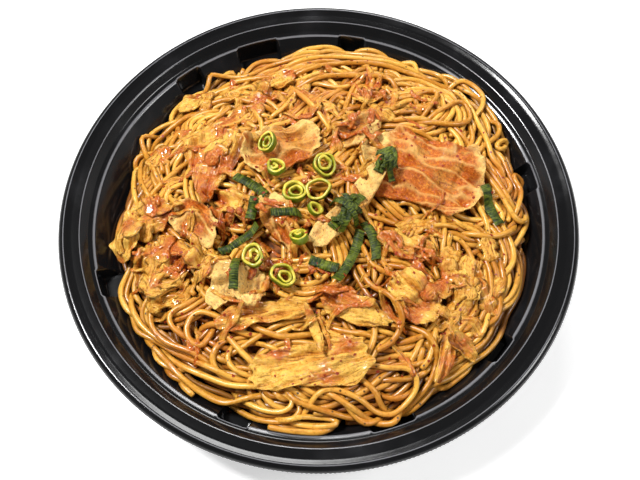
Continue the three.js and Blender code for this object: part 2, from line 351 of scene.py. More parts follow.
@dataclass(frozen=True)
class DeepNoodleFinish:
    """Painted shade: the core's dark, oily colour stands for the shaded depth between the strands."""

    colour: tuple = rgb(0x96541A)
    dark: tuple = rgb(0x4E2608)

    def material(self) -> bpy.types.Material:
        """Builds the material."""
        book = NodeBook("deep_noodle")
        patches = book.noise(book.place(), 260.0, 3.0)
        return book.finish(
            Base_Color=book.mix(book.band(patches, 0.35, 0.65), self.colour, self.dark),
            Roughness=0.6,
            IOR=1.3,
            Normal=book.bump(patches, 0.7, 0.9),
        )


@dataclass(frozen=True)
class PorkFinish:
    """Thin sliced pork, coated in patches with orange seasoning and pale at its fat rim, with painted
    shade in its creases and a painted highlight on their tops.

    Attributes:
        name: The material's name.
        lean: Colour of the meat.
        char: Colour of its browned fibres, also laid as painted shade in its creases.
        fat: Colour of the fat, also used for the painted highlight on its crease tops.
        seasoning: Colour of the seasoning.
        crumb_dark: Painted shade in the dips of the seasoning's crumbs.
        crumb_light: Painted highlight on their tops.
        flake: Colour of the chilli flakes in it.
        fold: Painted shade in its creases.
        fatness: Share of fat.
        coating: Share that the seasoning covers.
        zoning: How strongly fat and seasoning keep to places of their own.
    """

    name: str
    lean: tuple = rgb(0xC88838)
    char: tuple = rgb(0x84400A)
    fat: tuple = rgb(0xFAD07A)
    seasoning: tuple = rgb(0xC05600)
    crumb_dark: tuple = rgb(0x7C3002)
    crumb_light: tuple = rgb(0xF2AC40)
    flake: tuple = rgb(0x9C2C08)
    fold: tuple = rgb(0x7A340A)
    fatness: float = 0.38
    coating: float = 0.42
    zoning: float = 1.6

    def material(self) -> bpy.types.Material:
        """Builds the material."""
        book = NodeBook(self.name)
        place = book.place()
        grain = book.attribute("grain", "Vector")
        rim = book.attribute("rim")
        crease = book.attribute("crease")
        fibres = book.noise(book.stretched(grain, (0.16, 1.3, 0.6)), 1.0, 5.0, 0.65)
        marbling = book.noise(book.stretched(grain, (0.06, 0.2, 0.1)), 1.0, 3.0)
        crumbs = book.noise(place, 1050.0, 4.0, 0.7)
        cover = book.noise(place, 110.0, 5.0, 0.65)
        zones = self.zoning * (book.noise(place, 42.0, 2.0) - 0.5)
        # The crease attribute adds painted shade: its valleys lean to the browned colour.
        meat = book.mix(book.band(fibres + 0.3 * crease, 0.4, 0.85), self.char, self.lean)
        edge = 1.0 - self.fatness
        fatty = book.band(0.8 * rim + 0.5 * marbling + zones, edge, edge + 0.3)
        base = book.mix(0.9 * fatty, meat, self.fat)
        reach = 0.82 - self.coating * 0.5
        coated = book.band(cover + 0.4 * crumbs - zones, reach + 0.04, reach + 0.16)
        base = book.mix(0.8 * coated, base, self.seasoning)
        base = book.mix(book.band(rim + 0.4 * marbling, 1.02, 1.2, 0.8), base, self.fat)
        base = book.grained(base, crumbs, self.crumb_dark, self.crumb_light)
        flakes = book.band(book.cells(place, 620.0), 0.22, 0.12) * book.band(cover, 0.42, 0.55)
        base = book.mix(0.8 * flakes, base, self.flake)
        # Painted highlight: the crease tops are paled towards the fat colour.
        base = book.mix(book.band(crease + 0.3 * cover, 0.98, 1.18, 0.5), base, self.fat)
        # Painted shade: the crease valleys are darkened.
        base = book.mix(book.band(crease, 0.5, 0.12, 0.65), base, self.fold)
        return book.finish(
            Base_Color=base,
            Roughness=0.26 + 0.2 * crumbs,
            IOR=1.4,
            Subsurface_Weight=0.05,
            Subsurface_Radius=(0.0015, 0.0006, 0.0003),
            Subsurface_Scale=1.0,
            Coat_Weight=book.band(cover, 0.48, 0.66, 0.35),
            Coat_Roughness=0.08,
            Normal=book.bump(0.8 * crumbs + 0.8 * fibres + 0.3 * cover, 0.9, 0.7),
        )


@dataclass(frozen=True)
class CabbageFinish:
    """Pickled cabbage: glassy gold, lined by veins that fan out, and stained orange, with painted shade
    in its creases and a painted highlight on their tops.

    Attributes:
        name: The material's name.
        pale: Colour of the stem side and of the veins, and the painted highlight on the crease tops.
        gold: Colour of the leaf.
        stain: Colour of the pickle's stain.
        shade: Painted shade in its creases and between its veins.
        grain_dark: Painted shade in the dips of its grain.
        grain_light: Painted highlight on the tops of its grain.
        dot: Colour of the chilli on it.
        stained: Share that the stain covers.
    """

    name: str
    pale: tuple = rgb(0xF2BE54)
    gold: tuple = rgb(0xC87C18)
    stain: tuple = rgb(0xBE4E00)
    shade: tuple = rgb(0x642E02)
    grain_dark: tuple = rgb(0x9C5608)
    grain_light: tuple = rgb(0xF6C86C)
    dot: tuple = rgb(0xA8320C)
    stained: float = 0.45

    def material(self) -> bpy.types.Material:
        """Builds the material."""
        book = NodeBook(self.name)
        place = book.place()
        grain = book.attribute("grain", "Vector")
        crease = book.attribute("crease")
        veins = book.noise(book.stretched(grain, (0.07, 1.5, 0.4)), 1.0, 4.0, 0.65)
        cloud = book.noise(place, 80.0, 4.0)
        wrinkle = book.noise(place, 900.0, 4.0, 0.68)
        # Paler along the veins, and along the crease tops as a painted highlight.
        lit = book.band(0.7 * veins + 0.35 * crease, 0.38, 0.72)
        base = book.mix(lit, self.gold, self.pale)
        reach = 0.84 - self.stained * 0.4
        base = book.mix(book.band(cloud + 0.35 * wrinkle, reach, reach + 0.12, 0.85), base, self.stain)
        base = book.grained(base, wrinkle, self.grain_dark, self.grain_light, 0.45)
        # Painted shade between the veins and in the creases.
        base = book.mix(book.band(veins, 0.45, 0.34, 0.62), base, self.shade)
        base = book.mix(book.band(crease, 0.36, 0.06, 0.75), base, self.shade)
        dots = book.band(book.cells(place, 330.0), 0.16, 0.08) * book.band(cloud, 0.5, 0.62)
        base = book.mix(0.8 * dots, base, self.dot)
        return book.finish(
            Base_Color=base,
            Roughness=0.2 + 0.18 * wrinkle,
            IOR=1.4,
            Subsurface_Weight=0.06,
            Subsurface_Radius=(0.002, 0.001, 0.0003),
            Subsurface_Scale=1.0,
            Coat_Weight=book.band(cloud, 0.35, 0.6, 0.7),
            Coat_Roughness=0.06,
            Normal=book.bump(0.9 * veins + 0.6 * wrinkle, 0.95, 0.8),
        )


@dataclass(frozen=True)
class LeafFinish:
    """The dark green of a spring onion, with fine pale lines across its ribs."""

    dark: tuple = rgb(0x152604)
    light: tuple = rgb(0x667218)
    lines: float = 2.2

    def material(self) -> bpy.types.Material:
        """Builds the material."""
        book = NodeBook("leek_leaf")
        place = book.place()
        grain = book.attribute("grain", "Vector")
        ribs = book.noise(book.stretched(grain, (self.lines, 0.25, 0.6)), 1.0, 2.0)
        cloud = book.noise(place, 170.0, 3.0)
        fine = book.noise(place, 1200.0, 3.0)
        share = book.band(0.55 * ribs + 0.3 * cloud + 0.2 * fine, 0.44, 0.66)
        return book.finish(
            Base_Color=book.mix(share, self.dark, self.light),
            Roughness=0.36 + 0.2 * fine,
            IOR=1.36,
            Normal=book.bump(ribs + 0.3 * fine, 0.9, 0.5),
        )


@dataclass(frozen=True)
class RingFinish:
    """Cut spring onion: a green skin round walls that are pale where the knife went, with the inner wall
    tinted part way to the green as painted shade in the hollow.
    """

    skin: tuple = rgb(0x6A7E0A)
    cut: tuple = rgb(0xE0C848)
    vein: tuple = rgb(0x9C9A1C)

    def material(self) -> bpy.types.Material:
        """Builds the material."""
        book = NodeBook("onion_shells")
        place = book.place()
        outer = book.attribute("skin")
        cloud = book.noise(place, 240.0, 3.0)
        fine = book.noise(place, 1400.0, 3.0)
        face = book.mix(book.band(cloud + 0.3 * fine, 0.5, 0.8), self.cut, self.vein)
        base = book.mix(book.band(outer + 0.5 * cloud, 0.45, 1.05), face, self.skin)
        return book.finish(
            Base_Color=base,
            Roughness=0.26 + 0.2 * fine,
            Subsurface_Weight=0.15,
            Subsurface_Radius=(0.001, 0.0012, 0.0003),
            Subsurface_Scale=1.0,
            Coat_Weight=book.band(cloud, 0.4, 0.7, 0.4),
            Coat_Roughness=0.15,
            Normal=book.bump(0.6 * cloud + 0.5 * fine, 0.6, 0.3),
        )


@dataclass(frozen=True)
class ChilliFinish:
    """Dried chilli, from red to a dark brown red."""

    red: tuple = rgb(0xA8300C)
    dark: tuple = rgb(0x6E1606)

    def material(self) -> bpy.types.Material:
        """Builds the material."""
        book = NodeBook("chilli")
        cloud = book.noise(book.place(), 900.0, 3.0)
        return book.finish(
            Base_Color=book.mix(cloud, self.red, self.dark),
            Roughness=0.4,
            Normal=book.bump(cloud, 0.2, 0.1),
        )


@dataclass(frozen=True)
class TableFinish:
    """A plain white table that gives off a little light, so that the shadows on it stay faint."""

    white: tuple = rgb(0xFAFAFA)
    grey: tuple = rgb(0xF4F4F4)
    glow: float = 0.55

    def material(self) -> bpy.types.Material:
        """Builds the material."""
        book = NodeBook("table_white")
        colour = book.mix(book.noise(book.place(), 30.0, 3.0), self.white, self.grey)
        return book.finish(
            Base_Color=colour,
            Roughness=0.8,
            Emission_Color=colour,
            Emission_Strength=self.glow,
        )


# ------ meshes


def deselect() -> None:
    """Leaves object mode with nothing selected."""
    if bpy.context.mode != "OBJECT":
        bpy.ops.object.mode_set(mode="OBJECT")
    bpy.ops.object.select_all(action="DESELECT")


def activate(piece: bpy.types.Object) -> None:
    """Selects one object alone and makes it active."""
    deselect()
    piece.select_set(True)
    bpy.context.view_layer.objects.active = piece


def apply_modifier(piece: bpy.types.Object, kind: str, **settings: float | str | bool | int) -> None:
    """Adds a modifier to a piece and applies it.

    Args:
        piece: The object.
        kind: The modifier's type.
        **settings: Its properties.
    """
    activate(piece)
    modifier = piece.modifiers.new(kind.lower(), kind)
    for key, value in settings.items():
        setattr(modifier, key, value)
    bpy.ops.object.modifier_apply(modifier=modifier.name)


def corners(mesh: bpy.types.Mesh) -> np.ndarray:
    """A mesh's vertices in millimetres."""
    flat = np.empty(len(mesh.vertices) * 3, dtype=np.float32)
    mesh.vertices.foreach_get("co", flat)
    return flat.reshape(-1, 3).astype(float) / MM


def move_corners(mesh: bpy.types.Mesh, points: np.ndarray) -> None:
    """Sets a mesh's vertices from millimetres."""
    mesh.vertices.foreach_set("co", (points * MM).astype(np.float32).ravel())
    mesh.update()


def store(mesh: bpy.types.Mesh, name: str, values: np.ndarray) -> None:
    """Stores a number or a vector per vertex as a named attribute."""
    kind, key = ("FLOAT_VECTOR", "vector") if values.ndim == 2 else ("FLOAT", "value")
    layer = mesh.attributes.new(name, kind, "POINT")
    layer.data.foreach_set(key, values.astype(np.float32).ravel())


def make_piece(name: str, points: np.ndarray, faces: list, edges: list | None = None) -> bpy.types.Object:
    """Makes a mesh object.

    Args:
        name: The object's name.
        points: Vertices in millimetres.
        faces: Lists of vertex numbers.
        edges: Pairs of vertex numbers that no face has.

    Returns:
        The object, at the origin.
    """
    mesh = bpy.data.meshes.new(name)
    mesh.from_pydata((points * MM).tolist(), edges or [], faces)
    mesh.update()
    piece = bpy.data.objects.new(name, mesh)
    bpy.context.collection.objects.link(piece)
    return piece


def seat(piece: bpy.types.Object, finish: bpy.types.Material, slot: str, *nodes: str) -> None:
    """Dresses a piece, and says what it rides on and which CAD nodes it stands for."""
    piece.data.materials.clear()
    piece.data.materials.append(finish)
    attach(piece, BODY)
    if nodes:
        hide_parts(*nodes)
    log.info("%s: %d faces", piece.name, len(piece.data.polygons))


def noise_at(points: np.ndarray, scale: float, seed: float) -> np.ndarray:
    """Smooth noise of about -1..1 at points in millimetres, with features about scale wide."""
    shift = Vector((seed * 17.3, seed * 5.1, seed * 9.7))
    return np.array([noise.noise(Vector(p) / scale + shift) for p in points.tolist()])


# ------ heights


class Side(Enum):
    """Which side of the solids a height field follows."""

    ABOVE = 1
    BELOW = -1


class Field:
    """Heights over the tray, in millimetres on a square grid."""

    HALF = 106.0  # half the grid's width
    STEP = 0.75  # distance between its points
    OVERHEAD = 90.0  # where rays down start
    UNDERFOOT = -5.0  # where rays up start
    NOWHERE = -99.0  # height of what is out of reach

    def __init__(self, values: np.ndarray) -> None:
        """Keeps a grid of heights."""
        self.values = values

    @classmethod
    def axis(cls) -> np.ndarray:
        """The grid's coordinates along one side."""
        return np.arange(-cls.HALF, cls.HALF + cls.STEP / 2, cls.STEP)

    @classmethod
    def cast(cls, tree: BVHTree, side: Side, missing: float) -> "Field":
        """Measures solids by rays straight down or up.

        Args:
            tree: The solids.
            side: The side that is measured.
            missing: The height where there is nothing.

        Returns:
            The field.
        """
        axis = cls.axis()
        start = cls.OVERHEAD if side is Side.ABOVE else cls.UNDERFOOT
        way = Vector((0, 0, -side.value))
        values = np.full((len(axis), len(axis)), missing)
        for i, x in enumerate(axis):
            for j, y in enumerate(axis):
                if x * x + y * y < cls.HALF**2:
                    hit = tree.ray_cast(Vector((x, y, start)) * MM, way)[0]
                    if hit is not None:
                        values[i, j] = hit.z / MM
        return cls(values)

    def at(self, xy: np.ndarray) -> np.ndarray:
        """Heights at places, read between the grid's points."""
        last = len(self.values) - 1.001
        u = np.clip((xy[:, 0] + self.HALF) / self.STEP, 0, last)
        v = np.clip((xy[:, 1] + self.HALF) / self.STEP, 0, last)
        i, j = u.astype(int), v.astype(int)
        s, t = u - i, v - j
        low = self.values[i, j] * (1 - s) + self.values[i + 1, j] * s
        high = self.values[i, j + 1] * (1 - s) + self.values[i + 1, j + 1] * s
        return low * (1 - t) + high * t

    def disc(self, xy: np.ndarray, reach: float) -> tuple[np.ndarray, np.ndarray, np.ndarray]:
        """Grid cells within reach of each place.

        Returns:
            Rows, columns and squared distances, one line for each place.
        """
        span = int(math.ceil(reach / self.STEP))
        di, dj = np.mgrid[-span : span + 1, -span : span + 1].reshape(2, -1)
        i = np.round((xy[:, :1] + self.HALF) / self.STEP).astype(int) + di
        j = np.round((xy[:, 1:2] + self.HALF) / self.STEP).astype(int) + dj
        i, j = np.clip(i, 0, len(self.values) - 1), np.clip(j, 0, len(self.values) - 1)
        x, y = i * self.STEP - self.HALF, j * self.STEP - self.HALF
        return i, j, (x - xy[:, :1]) ** 2 + (y - xy[:, 1:2]) ** 2

    def rest(self, xy: np.ndarray, radius: float) -> np.ndarray:
        """Heights of the middle of a ball of that radius resting on the field at each place."""
        i, j, apart = self.disc(xy, radius)
        reach = np.sqrt(np.maximum(radius**2 - apart, 0))
        return np.where(apart < radius**2, self.values[i, j] + reach, self.NOWHERE).max(axis=1)

    def stamp(self, points: np.ndarray, radius: float) -> None:
        """Raises the field over balls at the points."""
        i, j, apart = self.disc(points[:, :2], radius)
        tops = points[:, 2:3] + np.sqrt(np.maximum(radius**2 - apart, 0))
        inside = apart < radius**2
        np.maximum.at(self.values, (i[inside], j[inside]), tops[inside])


def merged_copy(node: bpy.types.Object, name: str) -> bpy.types.Object:
    """A copy of a CAD node with its loose triangles joined."""
    mesh = node.data.copy()
    mesh.name = name
    mesh.materials.clear()
    work = bmesh.new()
    work.from_mesh(mesh)
    bmesh.ops.remove_doubles(work, verts=work.verts, dist=1e-5)
    work.to_mesh(mesh)
    work.free()
    piece = bpy.data.objects.new(name, mesh)
    bpy.context.collection.objects.link(piece)
    return piece


def solids_tree(objects: list[bpy.types.Object]) -> BVHTree:
    """A search tree over several meshes."""
    points: list = []
    faces: list = []
    for item in objects:
        base = len(points)
        points += [v.co.copy() for v in item.data.vertices]
        faces += [[base + k for k in p.vertices] for p in item.data.polygons]
    return BVHTree.FromPolygons(points, faces)


# ------ tray


@dataclass(frozen=True)
class Pocket:
    """A recess in the wall that keeps stacked trays apart: its middle in degrees and its width."""

    middle: float
    width: float


@dataclass
class Tray:
    """The formed tray: foot, sloping wall, ledge, flat band, bead and knurled skirt."""

    rim_radius: float = 105.0
    height: float = 30.0
    sheet: float = 0.8
    shelf: tuple[float, float] = (83.2, 16.2)
    ledge: tuple[float, float] = (91.4, 25.0)
    pocket_back: tuple[float, float] = (91.2, 92.2)
    pocket_side: float = 0.8
    ribs: int = 390
    rib_depth: float = 0.4
    ridges: tuple[float, ...] = (91.4, 96.4, 102.6)
    ridge_width: float = 0.6
    wall_rows: int = 14
    pockets: tuple[Pocket, ...] = (
        Pocket(11, 11),
        Pocket(80.5, 10.5),
        Pocket(108, 17.5),
        Pocket(130, 10.5),
        Pocket(200, 10.5),
        Pocket(250, 10.5),
        Pocket(287.5, 15.5),
        Pocket(320, 11),
    )

    def _rounded(self, outline: list[tuple[float, float, float]]) -> list[tuple[float, float]]:
        """Rounds the corners of an outline of (radius, height, rounding)."""
        made = [outline[0][:2]]
        for before, here, after in zip(outline, outline[1:], outline[2:]):
            spot = Vector(here[:2])
            back, on = Vector(before[:2]) - spot, Vector(after[:2]) - spot
            cut = min(here[2], 0.45 * back.length, 0.45 * on.length)
            if cut < 0.05:
                made.append(here[:2])
                continue
            first, last = spot + back.normalized() * cut, spot + on.normalized() * cut
            middle = (first + 2 * spot + last) / 4
            made += [tuple(first), tuple(middle), tuple(last)]
        return made + [outline[-1][:2]]

    def _wall(self, low: tuple, high: tuple, back: tuple) -> tuple[list, list]:
        """Rows of the pocketed stretch of wall, on the plain wall and inside a pocket."""
        shares = np.linspace(0, 1, self.wall_rows)
        plain = [(low[0] + (high[0] - low[0]) * t, low[1] + (high[1] - low[1]) * t) for t in shares]
        pocket = []
        for t in shares:
            if t < 0.5:
                pocket.append((low[0] + (back[0] - low[0]) * 2 * t, low[1]))
            else:
                rise = 2 * t - 1
                pocket.append((back[0] + (back[1] - back[0]) * rise, low[1] + (high[1] - low[1]) * rise))
        return plain, pocket

    def _rows(self) -> tuple[np.ndarray, np.ndarray]:
        """The section's points from the middle inside to the middle outside, plain and pocketed."""
        top, thick = self.height, self.sheet
        shelf, ledge, rim = self.shelf, self.ledge, self.rim_radius
        inside = self._rounded(
            [(0, 2.3, 0), (56, 2.3, 0.6), (58, thick, 0.6), (67, thick, 2)]
            + [(71, 2.6, 2), (76.5, 9, 3), (*shelf, 0)]
        )
        brim = self._rounded(
            [
                (*ledge, 0),
                (93.6, ledge[1] + 0.3, 0.5),
                (96.4, top - 1.15, 0.6),
                (100.1, top - 1.25, 0.6),
                (101.5, top - 0.55, 0.4),
                (102.6, top, 0.7),
                (104.3, top - 0.7, 0.7),
                (rim - 0.1, top - 1.7, 0.1),
                (rim, top - 1.9, 0),
                (rim, top - 3.3, 0),
                (rim - thick, top - 3.3, 0.1),
                (rim - 1.3, top - 1.6, 0.4),
                (102.5, top - 0.8, 0.4),
                (100.3, top - 2.05, 0.5),
                (96.6, top - 2, 0.5),
                (94.3, ledge[1] - 0.4, 0.5),
                (ledge[0] + 0.5, ledge[1] - 0.7, 0),
            ]
        )
        under = self._rounded(
            [(shelf[0] + 0.6, shelf[1] - thick, 0), (77.2, 8.5, 3), (71.6, 2, 2)]
            + [(67.8, 0, 2), (57.4, 0, 0.6), (55.6, 1.5, 0.6), (0, 1.5, 0)]
        )
        plain_in, pocket_in = self._wall(shelf, ledge, self.pocket_back)
        outer = tuple(r + thick for r in self.pocket_back)
        plain_out, pocket_out = self._wall(under[0], brim[-1], outer)
        plain = inside[:-1] + plain_in + brim[1:-1] + plain_out[::-1] + under[1:]
        pocket = inside[:-1] + pocket_in + brim[1:-1] + pocket_out[::-1] + under[1:]
        return np.array(plain), np.array(pocket)

    def _pocket_share(self, angle: np.ndarray) -> np.ndarray:
        """1 inside a pocket, 0 on the plain wall, smooth between the two."""
        share = np.zeros_like(angle)
        side = math.radians(self.pocket_side)
        for pocket in self.pockets:
            half = pocket.width / self.pocket_back[1] / 2
            away = np.abs((angle - math.radians(pocket.middle) + math.pi) % math.tau - math.pi)
            t = np.clip((half + side - away) / side, 0, 1)
            share = np.maximum(share, t * t * (3 - 2 * t))
        return share

    def build(self, finish: bpy.types.Material) -> bpy.types.Object:
        """Spins the section round, sinks the pockets and cuts the knurl."""
        plain, pocket = self._rows()
        start = np.column_stack([plain[:, 0], np.zeros(len(plain)), plain[:, 1]])
        edges = [(k, k + 1) for k in range(len(plain) - 1)]
        piece = make_piece("tray_body", start, [], edges)
        activate(piece)
        bpy.ops.object.mode_set(mode="EDIT")
        bpy.ops.mesh.select_all(action="SELECT")
        once_round = {"angle": math.tau, "center": (0, 0, 0), "axis": (0, 0, 1)}
        bpy.ops.mesh.spin(steps=2 * self.ribs, use_auto_merge=True, **once_round)
        bpy.ops.mesh.select_all(action="SELECT")
        bpy.ops.mesh.remove_doubles(threshold=5e-6)
        bpy.ops.mesh.normals_make_consistent(inside=False)
        bpy.ops.object.mode_set(mode="OBJECT")
        self._shape(piece.data, plain, pocket)
        bpy.ops.object.shade_smooth_by_angle(angle=math.radians(40))
        seat(piece, finish, "tray_plastic", "tray")
        return piece

    def _ridges(self, rows: np.ndarray) -> np.ndarray:
        """1 at the points of the section that stand on a ridge of its upper side, else 0."""
        upper = np.arange(len(rows)) < np.argmax(rows[:, 0])
        near = np.abs(rows[:, :1] - np.array(self.ridges)).min(axis=1)
        return np.where(upper & (near < self.ridge_width / 2) & (rows[:, 1] > self.shelf[1]), 1.0, 0.0)

    def _shape(self, mesh: bpy.types.Mesh, plain: np.ndarray, pocket: np.ndarray) -> None:
        """Moves the spun section's corners into the pockets and the ribs."""
        points = corners(mesh)
        radius = np.hypot(points[:, 0], points[:, 1])
        angle = np.arctan2(points[:, 1], points[:, 0])
        here = np.column_stack([radius, points[:, 2]])
        row = np.array([np.argmin(((plain - p) ** 2).sum(axis=1)) for p in here])
        share = self._pocket_share(angle)[:, None]
        place = plain[row] * (1 - share) + pocket[row] * share
        skirt = (plain[row, 0] > self.rim_radius - 0.05) & (plain[row, 1] < self.height - 1.8)
        groove = np.round(angle / math.tau * 2 * self.ribs).astype(int) % 2 == 1
        place[:, 0] -= self.rib_depth * (skirt & groove)
        points = np.column_stack([place[:, 0] * np.cos(angle), place[:, 0] * np.sin(angle), place[:, 1]])
        move_corners(mesh, points)
        # The ridge attribute marks the knurl's teeth and the upper ridges, where the plastic's finish
        # paints highlight lines.
        store(mesh, "ridge", np.where(skirt, np.where(groove, 0.0, 1.0), self._ridges(plain)[row]))


# ------ noodles


@dataclass
class Strand:
    """One noodle.

    Attributes:
        route: Its route over the heap.
        dive: How much of each end dives in, in millimetres.
        held: Share of the sideways pushes that it withstands.
        over: Whether it lies on the toppings.
    """

    route: np.ndarray
    dive: float = 0.0
    held: float = 0.0
    over: bool = False


@dataclass(frozen=True)
class Tuck:
    """A stretch where the noodles keep clear of the wall: middle and half-width in degrees, and depth."""

    middle: float
    half: float
    depth: float


@dataclass
class Outline:
    """The heap's outline, as its radius by angle."""

    angles: np.ndarray
    radii: np.ndarray
    tucks: tuple[Tuck, ...] = (
        Tuck(-54, 17, 5.0),
        Tuck(-12, 13, 4.5),
        Tuck(15, 14, 5.5),
        Tuck(171, 9, 4.5),
    )

    @classmethod
    def of(cls, heap: bpy.types.Object) -> "Outline":
        """Measures the outline of the CAD heap."""
        points = corners(heap.data)
        radius = np.hypot(points[:, 0], points[:, 1])
        turn = np.arctan2(points[:, 1], points[:, 0])
        middles = np.linspace(-math.pi, math.pi, 49)[:-1]
        widest = [radius[np.abs(np.angle(np.exp(1j * (turn - a)))) < 0.08].max() for a in middles]
        return cls(middles, np.array(widest))

    def radius(self, angle: np.ndarray | float) -> np.ndarray | float:
        """The outline's radius at an angle."""
        reach = np.interp(angle, self.angles, self.radii, period=math.tau)
        for tuck in self.tucks:
            away = (np.degrees(angle) - tuck.middle + 180) % 360 - 180
            reach = reach - tuck.depth * np.exp(-((away / tuck.half) ** 2))
        return reach


@dataclass
class Laying:
    """Lays the routes of the noodles: sweeping sheaves round the edge and loops within.

    Attributes:
        outline: The heap's outline.
        rng: Source of the unevenness.
        thickness: A strand's thickness.
        step: Distance between a route's points.
        spread: How far the first directions stray from running round the heap.
        memory: Length over which a bend is forgotten.
        turning: How far from the edge a route starts to turn back.
        gap: How far inside the outline it stays.
        tail: Length of the wandering tails of the placed strands.
        ragged: How far the sheaves keep clear of the edge, on average.
    """

    outline: Outline
    rng: np.random.Generator
    thickness: float
    step: float = 1.8
    spread: float = 0.85
    memory: float = 24.0
    turning: float = 14.0
    gap: float = 1.6
    tail: float = 14.0
    ragged: float = 2.6

    def wander(
        self, start: np.ndarray, heading: float, length: float, curl: float, margin: float = 0.0
    ) -> np.ndarray:
        """A route whose bend drifts at random and that turns back at the heap's edge.

        Args:
            start: Where it begins.
            heading: Its first direction.
            length: Its length.
            curl: How strongly it bends, per millimetre.
            margin: How far inside the outline it turns back.

        Returns:
            Its points.
        """
        point, bend = start.astype(float), self.rng.normal(0, curl)
        points = [point.copy()]
        keep = math.exp(-self.step / self.memory)
        for _ in range(int(length / self.step)):
            bend = keep * bend + math.sqrt(1 - keep**2) * self.rng.normal(0, curl)
            reach = math.hypot(*point)
            outward = math.atan2(point[1], point[0])
            limit = self.outline.radius(outward) - self.gap - margin
            turn = bend * self.step
            closeness = (reach - (limit - self.turning)) / self.turning
            if closeness > 0 and math.cos(heading - outward) > -0.15:
                side = 1 if math.sin(heading - outward) > 0 else -1
                turn += side * min(closeness, 1.4) ** 2 * 0.3
            heading += turn
            point = point + self.step * np.array([math.cos(heading), math.sin(heading)])
            reach = math.hypot(*point)
            if reach > limit + 2:
                point *= (limit + 2) / reach
            points.append(point.copy())
        return np.array(points)

    def sheaf(self, lead: np.ndarray, count: int) -> list[np.ndarray]:
        """Strands that run beside a lead strand for most of its length."""
        made = []
        ahead = np.gradient(lead, axis=0)
        ahead /= np.linalg.norm(ahead, axis=1, keepdims=True) + 1e-9
        aside = np.column_stack([-ahead[:, 1], ahead[:, 0]])
        t = np.linspace(0, 1, len(lead))
        for k in range(count):
            offset = (k - (count - 1) / 2) * (self.thickness + 0.15)
            drift = self.rng.normal(0, 2.2) * np.sin(math.pi * t * self.rng.uniform(0.5, 1.8)) ** 2
            route = lead + aside * (offset + drift)[:, None]
            first = int(len(lead) * self.rng.uniform(0, 0.18))
            last = int(len(lead) * self.rng.uniform(0.82, 1))
            made.append(self._inside(route[first:last]))
        return made

    def _inside(self, route: np.ndarray) -> np.ndarray:
        """Draws a route's points in to the outline."""
        reach = np.hypot(route[:, 0], route[:, 1])
        limit = self.outline.radius(np.arctan2(route[:, 1], route[:, 0])) - 0.4
        return route * np.minimum(1, limit / np.maximum(reach, 1e-6))[:, None]

    def heap(self, total: float) -> list[Strand]:
        """Routes for the heap, the lowest first, up to a total length."""
        made: list[Strand] = []
        laid = 0.0
        while laid < total:
            angle = self.rng.uniform(-math.pi, math.pi)
            edge = self.outline.radius(angle)
            reach = (edge - 5) * math.sqrt(self.rng.uniform(0.1, 1))
            start = reach * np.array([math.cos(angle), math.sin(angle)])
            way = 1 if self.rng.random() < 0.5 else -1
            heading = angle + way * math.pi / 2 + self.rng.normal(0, self.spread)
            length = self.rng.uniform(90, 210)
            margin = min(self.rng.exponential(self.ragged), 9.0)
            lead = self.wander(start, heading, length, self.rng.uniform(0.02, 0.07), margin)
            count = int(self.rng.choice([1, 1, 2, 3, 4]))
            made += [Strand(route) for route in self.sheaf(lead, count)]
            laid += length * count * 0.82
        return made

    def through(self, points: list[tuple[float, float]]) -> np.ndarray:
        """An even, smooth route through a few points."""
        knots = np.array(points, dtype=float)
        padded = np.vstack([2 * knots[0] - knots[1], knots, 2 * knots[-1] - knots[-2]])
        fine = []
        for a, b, c, d in zip(padded, padded[1:], padded[2:], padded[3:]):
            for t in np.linspace(0, 1, 12, endpoint=False):
                fine.append(
                    0.5 * (2 * b + (c - a) * t + (2 * a - 5 * b + 4 * c - d) * t**2)
                    + 0.5 * (3 * b - a - 3 * c + d) * t**3
                )
        fine.append(knots[-1])
        return evenly(np.array(fine), self.step)

    def lengthened(self, route: np.ndarray) -> np.ndarray:
        """The route with a wandering tail at each end."""
        ends = []
        for line in (route, route[::-1]):
            ahead = line[-1] - line[-3]
            tail = self.wander(line[-1], math.atan2(ahead[1], ahead[0]), self.tail, 0.05)
            ends.append(tail[1:])
        return np.vstack([ends[1][::-1], route, ends[0]])


def evenly(points: np.ndarray, step: float) -> np.ndarray:
    """The same route with its points a step apart."""
    lengths = np.linalg.norm(np.diff(points, axis=0), axis=1)
    along = np.concatenate([[0], np.cumsum(lengths)])
    count = max(3, int(round(along[-1] / step)) + 1)
    places = np.linspace(0, along[-1], count)
    return np.column_stack([np.interp(places, along, points[:, k]) for k in range(points.shape[1])])


